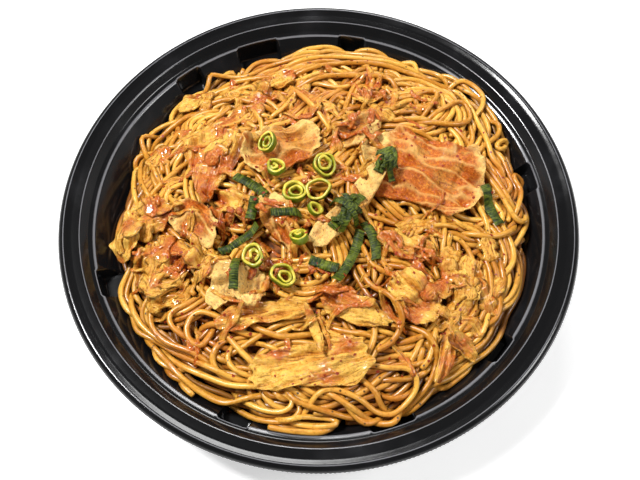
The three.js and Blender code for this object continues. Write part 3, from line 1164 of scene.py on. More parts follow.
class Tangle:
    """Strands as rows of balls that hold their length and curl and push each other clear."""

    SPACING = 1.8  # distance between a strand's balls
    STIFFNESS = 0.35  # share of its lost curl that a ball wins back in a round
    SINK = 0.1  # how far the balls sink in the first round
    CURL_KEPT = 0.85  # share of their curl that the random strands hold
    LEEWAY = 1.5  # how far placed strands may rise above the cap
    SIGHT = 1.35  # how far pairs are looked for, in thicknesses
    HASTE = 1.4  # how much further than needed balls are pushed apart
    REFRESH = 5  # rounds between two searches for pairs

    def __init__(
        self,
        strands: list[Strand],
        *,
        floor: Field,
        cap: Field,
        roof: Field,
        cover: Field,
        thickness: float,
    ) -> None:
        """Stacks the strands one on another, the first lowest.

        Args:
            strands: The strands.
            floor: Lowest place of a ball's middle.
            cap: Highest place of a ball's middle in the open.
            roof: Highest place of a ball's middle under the toppings.
            cover: Lowest place of a ball's middle over the toppings.
            thickness: A strand's thickness.
        """
        self.floor, self.cap, self.roof, self.cover = floor, cap, roof, cover
        self.thickness = thickness
        self.over = np.concatenate([np.full(len(s.route), s.over) for s in strands])
        self.held = np.concatenate([np.full(len(s.route), s.held) for s in strands])
        self.strand = np.concatenate([np.full(len(s.route), k) for k, s in enumerate(strands)])
        self.points = self._stack(strands)
        self.linked = np.flatnonzero(self.strand[1:] == self.strand[:-1])
        self.inner = np.flatnonzero((self.strand[2:] == self.strand[:-2])) + 1
        p = self.points
        self.length = np.linalg.norm(p[self.linked + 1, :2] - p[self.linked, :2], axis=1)
        bend = (p[self.inner - 1] + p[self.inner + 1]) / 2 - p[self.inner]
        bend[:, 2] = 0
        self.bend = bend * np.where(self.held[self.inner] > 0, 1.0, self.CURL_KEPT)[:, None]

    def _stack(self, strands: list[Strand]) -> np.ndarray:
        """First heights: each strand lies on what is under it and bridges the dips."""
        radius = self.thickness / 2
        pile = Field(self.floor.values - radius)
        made = []
        for strand in strands:
            height = pile.rest(strand.route, radius * 1.1)
            if strand.over:
                height = np.maximum(height, self.cover.at(strand.route))
            for _ in range(12):
                spanned = (np.roll(height, 1) + np.roll(height, -1)) / 2 - 0.05
                spanned[[0, -1]] = height[[0, -1]]
                height = np.maximum(height, spanned)
            if strand.dive:
                low = self.floor.at(strand.route) + 0.4 * radius
                step = np.arange(len(height))
                near = np.minimum(step, step[::-1]) * self.SPACING / strand.dive
                share = np.clip(near, 0, 1) ** 0.7
                height = low + (height - low) * share
            height = np.minimum(height, self.cap.at(strand.route) + self.LEEWAY * (strand.held > 0))
            points = np.column_stack([strand.route, height])
            pile.stamp(points, radius)
            made.append(points)
        return np.vstack(made)

    def _near(self, reach: float) -> tuple[np.ndarray, np.ndarray]:
        """Pairs of balls within reach of each other that aren't neighbours on a strand."""
        cell = np.floor(self.points / reach).astype(np.int64) + 200
        key = (cell[:, 0] * 1000 + cell[:, 1]) * 1000 + cell[:, 2]
        order = np.argsort(key, kind="stable")
        ordered = key[order]
        firsts, seconds = [], []
        for dx in (-1, 0, 1):
            for dy in (-1, 0, 1):
                for dz in (-1, 0, 1):
                    wanted = key + (dx * 1000 + dy) * 1000 + dz
                    start = np.searchsorted(ordered, wanted, "left")
                    count = np.searchsorted(ordered, wanted, "right") - start
                    a = np.repeat(np.arange(len(key)), count)
                    before = np.cumsum(count) - count
                    b = order[np.repeat(start - before, count) + np.arange(count.sum())]
                    keep = (a < b) & ~((self.strand[a] == self.strand[b]) & (b - a < 4))
                    firsts.append(a[keep])
                    seconds.append(b[keep])
        a, b = np.concatenate(firsts), np.concatenate(seconds)
        close = ((self.points[a] - self.points[b]) ** 2).sum(axis=1) < reach**2
        return a[close], b[close]

    def _part(self, pairs: tuple[np.ndarray, np.ndarray]) -> None:
        """Pushes overlapping balls apart."""
        a, b = pairs
        away = self.points[a] - self.points[b]
        apart = np.linalg.norm(away, axis=1) + 1e-9
        overlap = self.thickness - apart
        hit = overlap > 0
        a, b = a[hit], b[hit]
        push = away[hit] / apart[hit, None] * overlap[hit, None] / 2
        both = np.concatenate([a, b])
        moves = np.vstack([push, -push])
        total = np.column_stack([np.bincount(both, moves[:, k], len(self.points)) for k in range(3)])
        touching = np.bincount(both, minlength=len(self.points))
        total[:, :2] *= (1 - self.held)[:, None]
        self.points += self.HASTE * total / np.maximum(touching, 1)[:, None]

    def _hold(self) -> None:
        """Restores the spacing along each strand."""
        for parity in (0, 1):
            pick = self.linked[self.linked % 2 == parity]
            rest = self.length[self.linked % 2 == parity]
            along = self.points[pick + 1] - self.points[pick]
            apart = np.linalg.norm(along, axis=1) + 1e-9
            move = along * ((apart - rest) / apart / 2)[:, None]
            self.points[pick] += move
            self.points[pick + 1] -= move

    def _unbend(self) -> None:
        """Draws each ball towards the curl that its strand was laid with."""
        p = self.points
        bend = (p[self.inner - 1] + p[self.inner + 1]) / 2 - p[self.inner]
        p[self.inner] += self.STIFFNESS * (bend - self.bend)

    def _keep_in(self) -> None:
        """Keeps the balls over the core and tray, and under the toppings or on them."""
        xy = self.points[:, :2]
        low = self.floor.at(xy)
        high = np.minimum(self.cap.at(xy) + self.LEEWAY * (self.held > 0), self.roof.at(xy))
        z = self.points[:, 2]
        held = np.where(self.over, np.maximum(z, self.cover.at(xy)), np.minimum(z, high))
        self.points[:, 2] = np.maximum(held, low)

    def relax(self, rounds: int) -> list[np.ndarray]:
        """Lets the heap settle.

        Args:
            rounds: How many rounds of sinking and parting.

        Returns:
            The points of each strand.
        """
        for k in range(rounds):
            if k % self.REFRESH == 0:
                pairs = self._near(self.thickness * self.SIGHT)
            self.points[:, 2] -= self.SINK * (1 - k / rounds)
            self._unbend()
            self._hold()
            self._part(pairs)
            self._keep_in()
        return [self.points[self.strand == k] for k in range(self.strand[-1] + 1)]


@dataclass
class TubeMesh:
    """Collects strands as closed tubes with a softly squared section.

    Attributes:
        sides: Number of sides of the section.
        squareness: How squared it is.
        belly: How much deeper the underside counts as, so that it gets more painted shade.
        points: Corners so far.
        faces: Faces so far.
        tones: Shade of each corner.
        depths: Depth of each corner.
        grains: Place of each corner along and round its strand.
        count: Number of corners so far.
    """

    sides: int = 9
    squareness: float = 0.06
    belly: float = 0.6
    points: list = field(default_factory=list)
    faces: list = field(default_factory=list)
    tones: list = field(default_factory=list)
    depths: list = field(default_factory=list)
    grains: list = field(default_factory=list)
    count: int = 0

    def add(
        self, route: np.ndarray, thickness: np.ndarray, tone: float, flatness: float, depth: np.ndarray
    ) -> None:
        """Adds one tube.

        Args:
            route: Its middle line.
            thickness: Its thickness at each point.
            tone: Its shade from 0 to 1, stored on its corners.
            flatness: Its height as a share of its width.
            depth: How deep it lies at each point, from 0 to 1, stored with its belly made deeper for the
                painted shade.
        """
        ahead = np.gradient(route, axis=0)
        ahead /= np.linalg.norm(ahead, axis=1, keepdims=True) + 1e-9
        side = np.cross(ahead[0], (0.0, 0.0, 1.0))
        turn = np.linspace(0, math.tau, self.sides, endpoint=False)
        swell = 1 + self.squareness * np.cos(4 * turn)
        for k, (spot, way) in enumerate(zip(route, ahead)):
            side = side - way * side.dot(way)
            side /= np.linalg.norm(side) + 1e-9
            rise = np.cross(way, side)
            half = thickness[k] / 2
            ring = np.outer(np.cos(turn) * swell * half, side)
            ring += np.outer(np.sin(turn) * swell * half * flatness, rise)
            self.points.append(spot + ring)
            # Painted shade: the underside of each ring counts as deeper, so that it is painted darker.
            self.depths.append(depth[k] + self.belly * (0.5 - ring[:, 2] / (2 * half * flatness + 1e-9)))
            travel = np.full(self.sides, 1.3 * k)
            lane = np.column_stack([travel, np.cos(turn) * half, np.sin(turn) * half])
            self.grains.append(lane + (0, 91.0 * tone, 57.0 * tone))
        base, n, last = self.count, self.sides, len(route) - 1
        self.faces.append([base + i for i in range(n)][::-1])
        for k in range(last):
            low = base + k * n
            for i in range(n):
                j = (i + 1) % n
                self.faces.append([low + i, low + j, low + n + j, low + n + i])
        self.faces.append([base + last * n + i for i in range(n)])
        self.tones.append(np.full(n * len(route), tone))
        self.count += n * len(route)

    def piece(self, name: str) -> bpy.types.Object:
        """Makes the object."""
        made = make_piece(name, np.vstack(self.points), self.faces)
        made.data.shade_smooth()
        store(made.data, "tone", np.concatenate(self.tones))
        store(made.data, "depth", np.concatenate(self.depths))
        store(made.data, "grain", np.vstack(self.grains))
        return made


@dataclass
class Noodles:
    """The heap of noodles: a shaded core with real strands laid over it.

    Attributes:
        thickness: A strand's thickness.
        flatness: Its height as a share of its width.
        bead: Distance between the rings of its mesh.
        total: Length of the strands laid at random.
        rounds: How long the strands settle.
        headroom: How far above the CAD heap their middles may rise.
        core_width: The core's width, as a share of the heap's.
        core_height: Its height, as a share of the heap's.
        core_lift: How far it is raised.
        held: Share of the sideways pushes that the placed strands withstand.
        open_depth: Depth, in thicknesses, at which painted shade starts to darken a strand.
        sauced_depth: Depth from there to full darkness.
        placed_share: Share of the painted shade that the placed strands take.
        seed: Picks the routes and shades.
        placed: Strands that are seen one by one, the lowest first.
        crossing: The strand that lies on the toppings.
    """

    thickness: float = 2.32
    flatness: float = 0.94
    bead: float = 1.35
    total: float = 33500.0
    rounds: int = 90
    headroom: float = 1.6
    core_width: float = 0.92
    core_height: float = 0.78
    core_lift: float = 1.0
    held: float = 0.9
    open_depth: float = 2.4
    sauced_depth: float = 2.2
    placed_share: float = 0.35
    seed: int = 7
    placed: tuple = (
        ((-8, 77), (5, 84), (19, 82), (33, 78), (46, 74), (57, 67)),
        ((-50, 72), (-41, 71), (-31, 70), (-22, 76), (-13, 77), (1, 81)),
        ((-45, 64), (-34, 66), (-23, 66), (-13, 68), (1, 73)),
        ((-17, 73), (-3, 77), (12, 78), (28, 75), (42, 70), (52, 64)),
        ((-14, 67), (1, 71), (19, 73), (35, 70), (47, 65), (59, 60)),
        ((-8, 60), (5, 64), (20, 64), (31, 63), (34, 57)),
        ((-75, 40), (-69, 45), (-61, 46), (-51, 54), (-41, 56), (-30, 60), (-17, 59)),
        ((-71, 36), (-63, 42), (-54, 48), (-44, 53), (-33, 52), (-22, 47)),
        ((-79, 24), (-77, 12), (-74, 2)),
        ((-76, 24), (-74, 14), (-70, 6)),
        ((-80, 26), (-77, 31), (-69, 30)),
        ((-56, -68), (-46, -73), (-37, -77), (-26, -79)),
        ((-66, -54), (-60, -60), (-52, -69), (-42, -76), (-35, -79), (-29, -78), (-20, -76)),
        ((-58, -60), (-51, -65), (-42, -69), (-31, -73), (-18, -74), (-11, -75)),
        ((-69, -51), (-61, -55), (-53, -60), (-44, -64), (-33, -70), (-24, -72)),
        ((-73, -42), (-68, -49), (-59, -56), (-50, -60), (-43, -63)),
        ((-55, -38), (-62, -39), (-65, -45), (-63, -52), (-57, -57), (-49, -60), (-43, -63)),
        ((-53, -43), (-57, -45), (-57, -49), (-53, -53), (-47, -56)),
        ((-39, -47), (-46, -45), (-50, -50), (-49, -56), (-44, -59), (-42, -56)),
        ((-18, -59), (-27, -56), (-33, -59), (-34, -65), (-29, -69), (-22, -71)),
        ((-28, -54), (-37, -57), (-40, -64), (-36, -69), (-28, -72), (-18, -73)),
        ((-28, -82), (-21, -85), (-12, -86), (-7, -84), (-6, -80), (-10, -78)),
        ((-26, -79), (-20, -82), (-13, -83), (-9, -81), (-9, -78), (-14, -76)),
        ((-11, -86), (-5, -84), (1, -84), (7, -85), (8, -87), (4, -88), (-3, -88), (-10, -87)),
        ((10, -68), (15, -71), (21, -76), (22, -79)),
        ((58, -64), (52, -69), (46, -74)),
        ((47, -64), (45, -70), (44, -74)),
        ((50, -58), (48, -64), (43, -72), (37, -79), (31, -83)),
        ((33, -51), (39, -53), (43, -58), (44, -64), (41, -72), (35, -79), (30, -83), (22, -85)),
        ((-14, -71), (-12, -76), (-8, -80), (-1, -82), (7, -84), (12, -85), (18, -83)),
        ((5, -68), (5, -73), (9, -79), (13, -84), (17, -87)),
        ((0, -75), (7, -79), (13, -83), (19, -86), (24, -87), (30, -87)),
        (
            *((-3, -80), (-1, -77), (3, -75), (9, -76), (16, -79), (21, -83), (27, -84), (32, -80)),
            *((36, -75), (36, -70), (32, -67), (26, -68), (19, -67), (11, -67)),
        ),
        ((-35, -54), (-32, -58), (-26, -64), (-20, -69), (-13, -74), (-7, -77)),
        ((58, -13), (64, -15), (70, -15), (76, -12), (79, -8)),
        ((65, 20), (70, 12), (75, 3), (78, -4), (81, -7), (85, -4), (83, 0)),
        ((67, 21), (73, 12), (77, 3), (80, -1)),
        ((87, 14), (85, 17), (80, 17), (80, 13), (83, 9), (81, 1)),
        ((78, 44), (78, 38), (74, 33), (70, 29), (66, 24)),
        ((81, 32), (76, 27), (74, 29), (78, 34), (82, 35)),
        ((43, 48), (41, 52), (45, 56), (52, 56), (47, 46)),
        ((48, 42), (55, 47), (62, 52), (65, 46), (64, 40), (58, 37), (51, 37), (45, 38)),
        ((43, 77), (45, 68), (53, 64), (62, 60), (66, 50), (68, 40), (70, 31), (72, 22), (75, 19)),
        ((57, 61), (63, 65), (69, 62), (72, 56), (71, 50), (67, 46)),
        ((-78, 40), (-76, 33), (-70, 22), (-67, 15)),
        ((-20, 65), (-10, 56), (-2, 45), (3, 37), (5, 34)),
        ((5, 37), (13, 44), (24, 49)),
        ((24, 37), (32, 36), (42, 33), (50, 29)),
        ((9, -44), (17, -44), (25, -47), (30, -53)),
        ((-36, -51), (-27, -54), (-18, -54), (-9, -51), (0, -47)),
        ((-30, -60), (-24, -56), (-16, -51), (-6, -49), (4, -51)),
        ((-28, -48), (-22, -53), (-13, -56), (-4, -55)),
    )
    crossing: tuple = ((15, -28), (19, -36), (27, -42), (31, -48), (31, -53), (27, -59), (21, -62))

    def core(self, heap: bpy.types.Object, finish: bpy.types.Material) -> bpy.types.Object:
        """Shrinks a copy of the CAD heap, so that the strands have room over it."""
        piece = merged_copy(heap, "noodle_core")
        apply_modifier(piece, "SUBSURF", levels=2, render_levels=2, subdivision_type="SIMPLE")
        points = corners(piece.data)
        points[:, :2] *= self.core_width
        points[:, 2] = points[:, 2] * self.core_height + self.core_lift
        relief = noise_at(points * (1, 1, 0.6), 3.0, 2.0)
        points[:, 2] += np.where(points[:, 2] > 12, 0.9 * relief, 0)
        move_corners(piece.data, points)
        piece.data.shade_smooth()
        seat(piece, finish, "noodle", heap.name)
        return piece

    def routes(self, outline: Outline) -> list[Strand]:
        """All the strands, lowest first."""
        laying = Laying(outline, np.random.default_rng(self.seed), self.thickness)
        strands = laying.heap(self.total)
        for points in self.placed:
            route = laying.lengthened(laying.through(list(points)))
            strands.append(Strand(route, laying.tail, self.held))
        strands.append(Strand(laying.through(list(self.crossing)), held=self.held, over=True))
        return strands

    def settle(
        self, outline: Outline, tray: BVHTree, core: BVHTree, heap: BVHTree, toppings: BVHTree
    ) -> list[np.ndarray]:
        """Lays the strands and lets them settle under the toppings.

        Args:
            outline: The heap's outline.
            tray: The tray.
            core: The core.
            heap: The CAD heap.
            toppings: The CAD toppings.

        Returns:
            The routes in space.
        """
        radius = self.thickness / 2
        ground = Field.cast(tray, Side.ABOVE, 0.0)
        ground.values = np.maximum(ground.values, Field.cast(core, Side.ABOVE, 0.0).values)
        floor = middle_over(ground, radius)
        top = Field.cast(heap, Side.ABOVE, 20.0)
        cap = Field(np.maximum(top.values + self.headroom, floor.values + 3.5))
        under = Field.cast(toppings, Side.BELOW, 80.0)
        roof = Field(np.maximum(-middle_over(Field(-under.values), radius).values, floor.values))
        cover = middle_over(Field.cast(toppings, Side.ABOVE, 0.0), radius)
        tangle = Tangle(
            self.routes(outline), floor=floor, cap=cap, roof=roof, cover=cover, thickness=self.thickness
        )
        log.info("%d strands, %d balls", tangle.strand[-1] + 1, len(tangle.points))
        return tangle.relax(self.rounds)

    def build(self, routes: list[np.ndarray], finish: bpy.types.Material) -> list[bpy.types.Object]:
        """Makes the strands' tubes, shared among three pieces, the lowest first."""
        rng = np.random.default_rng(self.seed + 1)
        letters = "abc"
        tubes = [TubeMesh() for _ in letters]
        top = Field(np.zeros((len(Field.axis()), len(Field.axis()))))
        top.stamp(np.vstack(routes), self.open_depth * self.thickness)
        first_placed = len(routes) - len(self.placed) - 1
        for k, route in enumerate(routes):
            smooth = evenly(softened(route, 2), self.bead)
            t = np.linspace(0, 1, len(smooth))
            size = self.thickness * rng.uniform(0.88, 1.04)
            waves = 1 + 0.03 * np.sin(t * len(smooth) * 0.23 + k)
            ends = np.clip(np.minimum(t, 1 - t) * len(smooth) / 1.5 + 0.82, 0, 1)
            # Painted shade: the further a strand lies below the heap's top, the darker it is painted.
            below = (top.at(smooth[:, :2]) - smooth[:, 2]) / self.thickness - self.open_depth
            depth = np.clip(below / self.sauced_depth, 0, 1)
            if k >= first_placed:
                depth *= self.placed_share
            tube = tubes[k * len(tubes) // len(routes)]
            tube.add(smooth, size * waves * ends, rng.random(), self.flatness, depth)
        pieces = []
        for letter, tube in zip(letters, tubes):
            piece = tube.piece(f"noodle_strands_{letter}")
            seat(piece, finish, "noodle")
            pieces.append(piece)
        return pieces


def softened(points: np.ndarray, rounds: int) -> np.ndarray:
    """A route with its small kinks smoothed out."""
    made = points.copy()
    for _ in range(rounds):
        made[1:-1] = (made[:-2] + 2 * made[1:-1] + made[2:]) / 4
    return made


def bridged(height: np.ndarray, rounds: int, sag: float) -> np.ndarray:
    """Heights along a line, raised so that it bridges the dips with a little sag."""
    made = height.copy()
    for _ in range(rounds):
        made[1:-1] = np.maximum(made[1:-1], (made[:-2] + made[2:]) / 2 - sag)
    return made


def middle_over(ground: Field, radius: float) -> Field:
    """The lowest place of a ball's middle over the ground."""
    axis = Field.axis()
    x, y = np.meshgrid(axis, axis, indexing="ij")
    spots = np.column_stack([x.ravel(), y.ravel()])
    return Field(ground.rest(spots, radius).reshape(len(axis), len(axis)))


# ------ toppings


@dataclass(frozen=True)
class Cut:
    """How one kind of topping is cut and how limp it is.

    Attributes:
        slot: The record's material slot.
        cell: Size of the mesh's faces, in millimetres.
        ripple: Height and width of its waves.
        fray: Depth and width of the nicks in its edge.
        lumps: Height and width of its small lumps.
        ribs: Height of its creases and how many there are in a millimetre.
        curl: Height by which its edge stands up in places.
        thin: Share of the slab's thickness that is left.
        droop: Share by which it sinks to what lies under it.
    """

    slot: str
    cell: float
    ripple: tuple[float, float]
    fray: tuple[float, float]
    lumps: tuple[float, float]
    ribs: tuple[float, float]
    curl: float
    thin: float = 0.8
    droop: float = 0.8


CUTS = {
    "pork": Cut("pork", 0.5, (3.4, 10.0), (1.5, 3.0), (0.45, 2.0), (2.0, 0.14), 3.2, 0.75),
    "pork_fat": Cut("pork_fat", 0.5, (2.0, 6.5), (1.1, 2.6), (0.4, 2.0), (0.5, 0.35), 1.6),
    "cabbage": Cut("cabbage", 0.46, (2.3, 6.5), (1.2, 2.6), (0.4, 1.7), (1.25, 0.4), 1.8, 0.6),
}


class Bed:
    """What the toppings come down on, kept up to date as they are laid."""

    def __init__(self, ground: Field) -> None:
        """Starts from the strands."""
        self.ground = ground

    def under(self, xy: np.ndarray, reach: float = 2.2) -> np.ndarray:
        """Height of what holds a limp slice up at each place."""
        i, j, apart = self.ground.disc(xy, reach)
        near = np.where(apart <= reach**2, self.ground.values[i, j], Field.NOWHERE)
        near.sort(axis=1)
        return near[:, -6:].mean(axis=1)

    def add(self, points: np.ndarray) -> None:
        """Adds a topping's top."""
        self.ground.stamp(points - (0, 0, 0.5), 0.8)


def slab_axes(points: np.ndarray) -> tuple[np.ndarray, np.ndarray, np.ndarray]:
    """The middle of a slab and its level directions along and across."""
    middle = (points.max(axis=0) + points.min(axis=0)) / 2
    _, vectors = np.linalg.eigh(np.cov((points - middle)[:, :2].T))
    along = np.array([*vectors[:, 1], 0.0])
    return middle, along, np.array([-along[1], along[0], 0.0])


@dataclass
class Slice:
    """A thin topping, made from its CAD slab: torn, creased and sunk on to what lies under it."""

    node: bpy.types.Object
    cut: Cut
    seed: float

    def build(self, bed: Bed, finish: bpy.types.Material) -> bpy.types.Object:
        """Makes the piece and adds it to the bed."""
        piece = merged_copy(self.node, self.node.name + "_slice")
        slab = solids_tree([piece])
        apply_modifier(piece, "REMESH", mode="VOXEL", voxel_size=self.cut.cell * MM)
        apply_modifier(piece, "SMOOTH", factor=0.5, iterations=2)
        rest = corners(piece.data)
        middle, along, across = slab_axes(rest)
        grain = self._grain(rest - middle, along, across)
        away = (rest - middle) * (1, 1, 0)
        reach = np.linalg.norm(away, axis=1)
        rim = np.clip(reach / (np.percentile(reach, 90) + 1e-9), 0, 1) ** 2
        frayed = rest + away / (reach[:, None] + 1e-9) * (self._nicks(rest) * rim)[:, None]
        points = self._lowered(frayed, rest, rim, bed, slab)
        fold = 1 - 2.4 * np.abs(noise_at(grain * (0.06, self.cut.ribs[1], 0), 1.0, self.seed + 3))
        self._rumple(points, rest, rim, fold)
        move_corners(piece.data, points)
        store(piece.data, "grain", grain)
        # The crease attribute is 0 in the folds' valleys and 1 on their tops; the finishes paint shade
        # and highlight from it.
        store(piece.data, "crease", np.clip(0.5 + 0.5 * fold, 0, 1))
        store(piece.data, "rim", rim)
        piece.data.shade_smooth()
        bed.add(points)
        seat(piece, finish, self.cut.slot, self.node.name)
        return piece

    def _nicks(self, rest: np.ndarray) -> np.ndarray:
        """How far the torn edge stands out or in at each place."""
        depth, width = self.cut.fray
        nick = noise_at(rest * (1, 1, 0), width, self.seed + 9) - 0.15
        nick += 1.3 * noise_at(rest * (1, 1, 0), 3 * width, self.seed + 7)
        return depth * nick

    def _rumple(self, points: np.ndarray, rest: np.ndarray, rim: np.ndarray, fold: np.ndarray) -> None:
        """Raises the points by the slice's waves, creases, lumps and curled edge."""
        wave, span = self.cut.ripple
        lump, size = self.cut.lumps
        lift = noise_at(rest * (1, 1, 0), 12.0, self.seed + 11) + 0.3
        edge = np.clip((rim - 0.4) / 0.6, 0, 1) ** 2
        points[:, 2] += wave * (noise_at(rest * (1, 1, 0), span, self.seed) + 0.35)
        points[:, 2] += self.cut.ribs[0] * (fold - 0.5) + lump * noise_at(rest, size, self.seed + 5)
        points[:, 2] += self.cut.curl * np.clip(1.6 * lift, 0, 1) * edge

    def _grain(self, flat: np.ndarray, along: np.ndarray, across: np.ndarray) -> np.ndarray:
        """Coordinates along and across veins that fan out from beyond one end."""
        u, v = flat @ along, flat @ across
        reach = 1.2 * (u.max() - u.min())
        turn = np.arctan2(v, u + reach)
        return np.column_stack([np.hypot(v, u + reach), turn * reach, flat[:, 2]])

    def _lowered(
        self, points: np.ndarray, rest: np.ndarray, rim: np.ndarray, bed: Bed, slab: BVHTree
    ) -> np.ndarray:
        """Thins the slice, most at its rim, and sinks it on to the bed."""
        under = np.empty(len(points))
        up = Vector((0, 0, 1))
        for k, (x, y, z) in enumerate(rest.tolist()):
            hit = slab.ray_cast(Vector((x, y, 0)) * MM, up)[0]
            under[k] = z if hit is None else min(hit.z / MM, z)
        drop = np.clip(under - bed.under(points[:, :2]) - 0.1, -1.5, 9)
        lowered = points.copy()
        thin = self.cut.thin * (1 - 0.5 * np.clip((rim - 0.5) * 2, 0, 1))
        lowered[:, 2] = under + (points[:, 2] - under) * thin - self.cut.droop * drop
        return lowered


@dataclass(frozen=True)
class Lie:
    """How a strip lies: its middle, direction, length and width, and how far it bows aside."""

    middle: np.ndarray
    heading: float
    length: float
    width: float
    bow: float


@dataclass
class LeafStrip:
    """Strips cut from a spring onion's green: square at both ends, hollowed and ribbed.

    Attributes:
        node: The CAD slab that they stand for.
        seed: Picks their bends.
        ceiling: Highest place that they may reach.
        thick: Thickness of the leaf.
        broadest: Greatest width of the strip along the slab.
        bunched: Width of a slab above which it stands for a bunch.
        fan: Directions of a bunch's other strips, from its own.
        camber: Height of the hollow, as a share of the width.
    """

    node: bpy.types.Object
    seed: int
    ceiling: float
    thick: float = 0.55
    broadest: float = 3.4
    bunched: float = 7.2
    fan: tuple[float, ...] = (-0.9, 0.3, 0.75, 1.2, 1.7)
    camber: float = 0.16

    def build(self, bed: Bed, finish: bpy.types.Material) -> bpy.types.Object:
        """Makes the piece and adds it to the bed."""
        points = corners(self.node.data)
        ceiling = min(self.ceiling, points[:, 2].max() + 2.5)
        strips = [self._strip(bed, lie, ceiling) for lie in self._lies(points)]
        activate(strips[0])
        for strip in strips:
            strip.select_set(True)
        if len(strips) > 1:
            bpy.ops.object.join()
        piece = strips[0]
        piece.name = self.node.name + "_cut"
        seat(piece, finish, "leek_green", self.node.name)
        return piece

    def _lies(self, points: np.ndarray) -> list[Lie]:
        """How the strips of a slab lie: one along it, and a fan of more where it is broad."""
        rng = np.random.default_rng(self.seed)
        middle, along, across = slab_axes(points)
        u, v = (points - middle) @ along, (points - middle) @ across
        length, width = u.max() - u.min(), v.max() - v.min()
        ends = [(v[u < u.min() + 1.5]).mean(), (v[u > u.max() - 1.5]).mean()]
        centre = v[np.abs(u) < 0.2 * length].mean()
        heading = math.atan2(along[1], along[0])
        lies = [Lie(middle, heading, length, min(0.8 * width, self.broadest), centre - sum(ends) / 2)]
        if width <= self.bunched:
            return lies
        for turn in self.fan:
            spot = middle + (*rng.normal(0, 0.2 * width, 2), 0)
            way = heading + turn + rng.normal(0, 0.15)
            reach = rng.uniform(0.7, 1.0) * min(length, 14)
            lies.append(Lie(spot, way, reach, rng.uniform(1.3, 2.3), rng.normal(0, 3.2)))
        return lies

    def _strip(self, bed: Bed, lie: Lie, ceiling: float) -> bpy.types.Object:
        """One strip laid over what is there, below the ceiling."""
        bpy.ops.mesh.primitive_grid_add(x_subdivisions=int(lie.length / 0.6), y_subdivisions=8, size=2)
        piece = bpy.context.object
        flat = corners(piece.data) * MM
        s, t = flat[:, 0], flat[:, 1]
        middle = lie.middle[:2]
        along = np.array([math.cos(lie.heading), math.sin(lie.heading)])
        across = np.array([-along[1], along[0]])
        edge = 1 + 0.1 * noise_at(np.column_stack([s * 3, 0 * s, 0 * s]), 1.0, self.seed)
        aside = lie.bow * (1 - s * s) - lie.bow / 2 + t * edge * lie.width / 2
        spots = middle + np.outer(s * lie.length / 2, along) + np.outer(aside, across)
        places = np.linspace(-1, 1, 21)
        line = middle + np.outer(places * lie.length / 2, along)
        height = bridged(bed.under(line, 1.6) + 0.3, 6, 0.08)
        rise = np.interp(s, places, softened(height[:, None], 3)[:, 0])
        hollow = self.camber * lie.width * (1 - t * t)
        rib = 0.1 * np.cos(s * lie.length * 2.6) * (1 - t**4)
        curl = 0.5 * noise_at(np.column_stack([s * 2, t * 0.8, 0 * s]), 1.0, self.seed + 4)
        points = np.column_stack([spots, rise + hollow + rib + curl])
        points[:, 2] -= max(0.0, points[:, 2].max() + self.thick - ceiling)
        move_corners(piece.data, points)
        apply_modifier(piece, "SOLIDIFY", thickness=self.thick * MM, offset=1.0)
        made = corners(piece.data)
        local = made[:, :2] - middle
        store(piece.data, "grain", np.column_stack([local @ along, local @ across, made[:, 2]]))
        bpy.ops.object.shade_smooth_by_angle(angle=math.radians(50))
        bed.add(made)
        return piece


@dataclass(frozen=True)
class Shell:
    """One layer of a cut onion: its radius, shift, open angle and inward spiral in millimetres."""

    radius: float
    shift: tuple[float, float]
    opening: float = 0.0
    spiral: float = 0.0


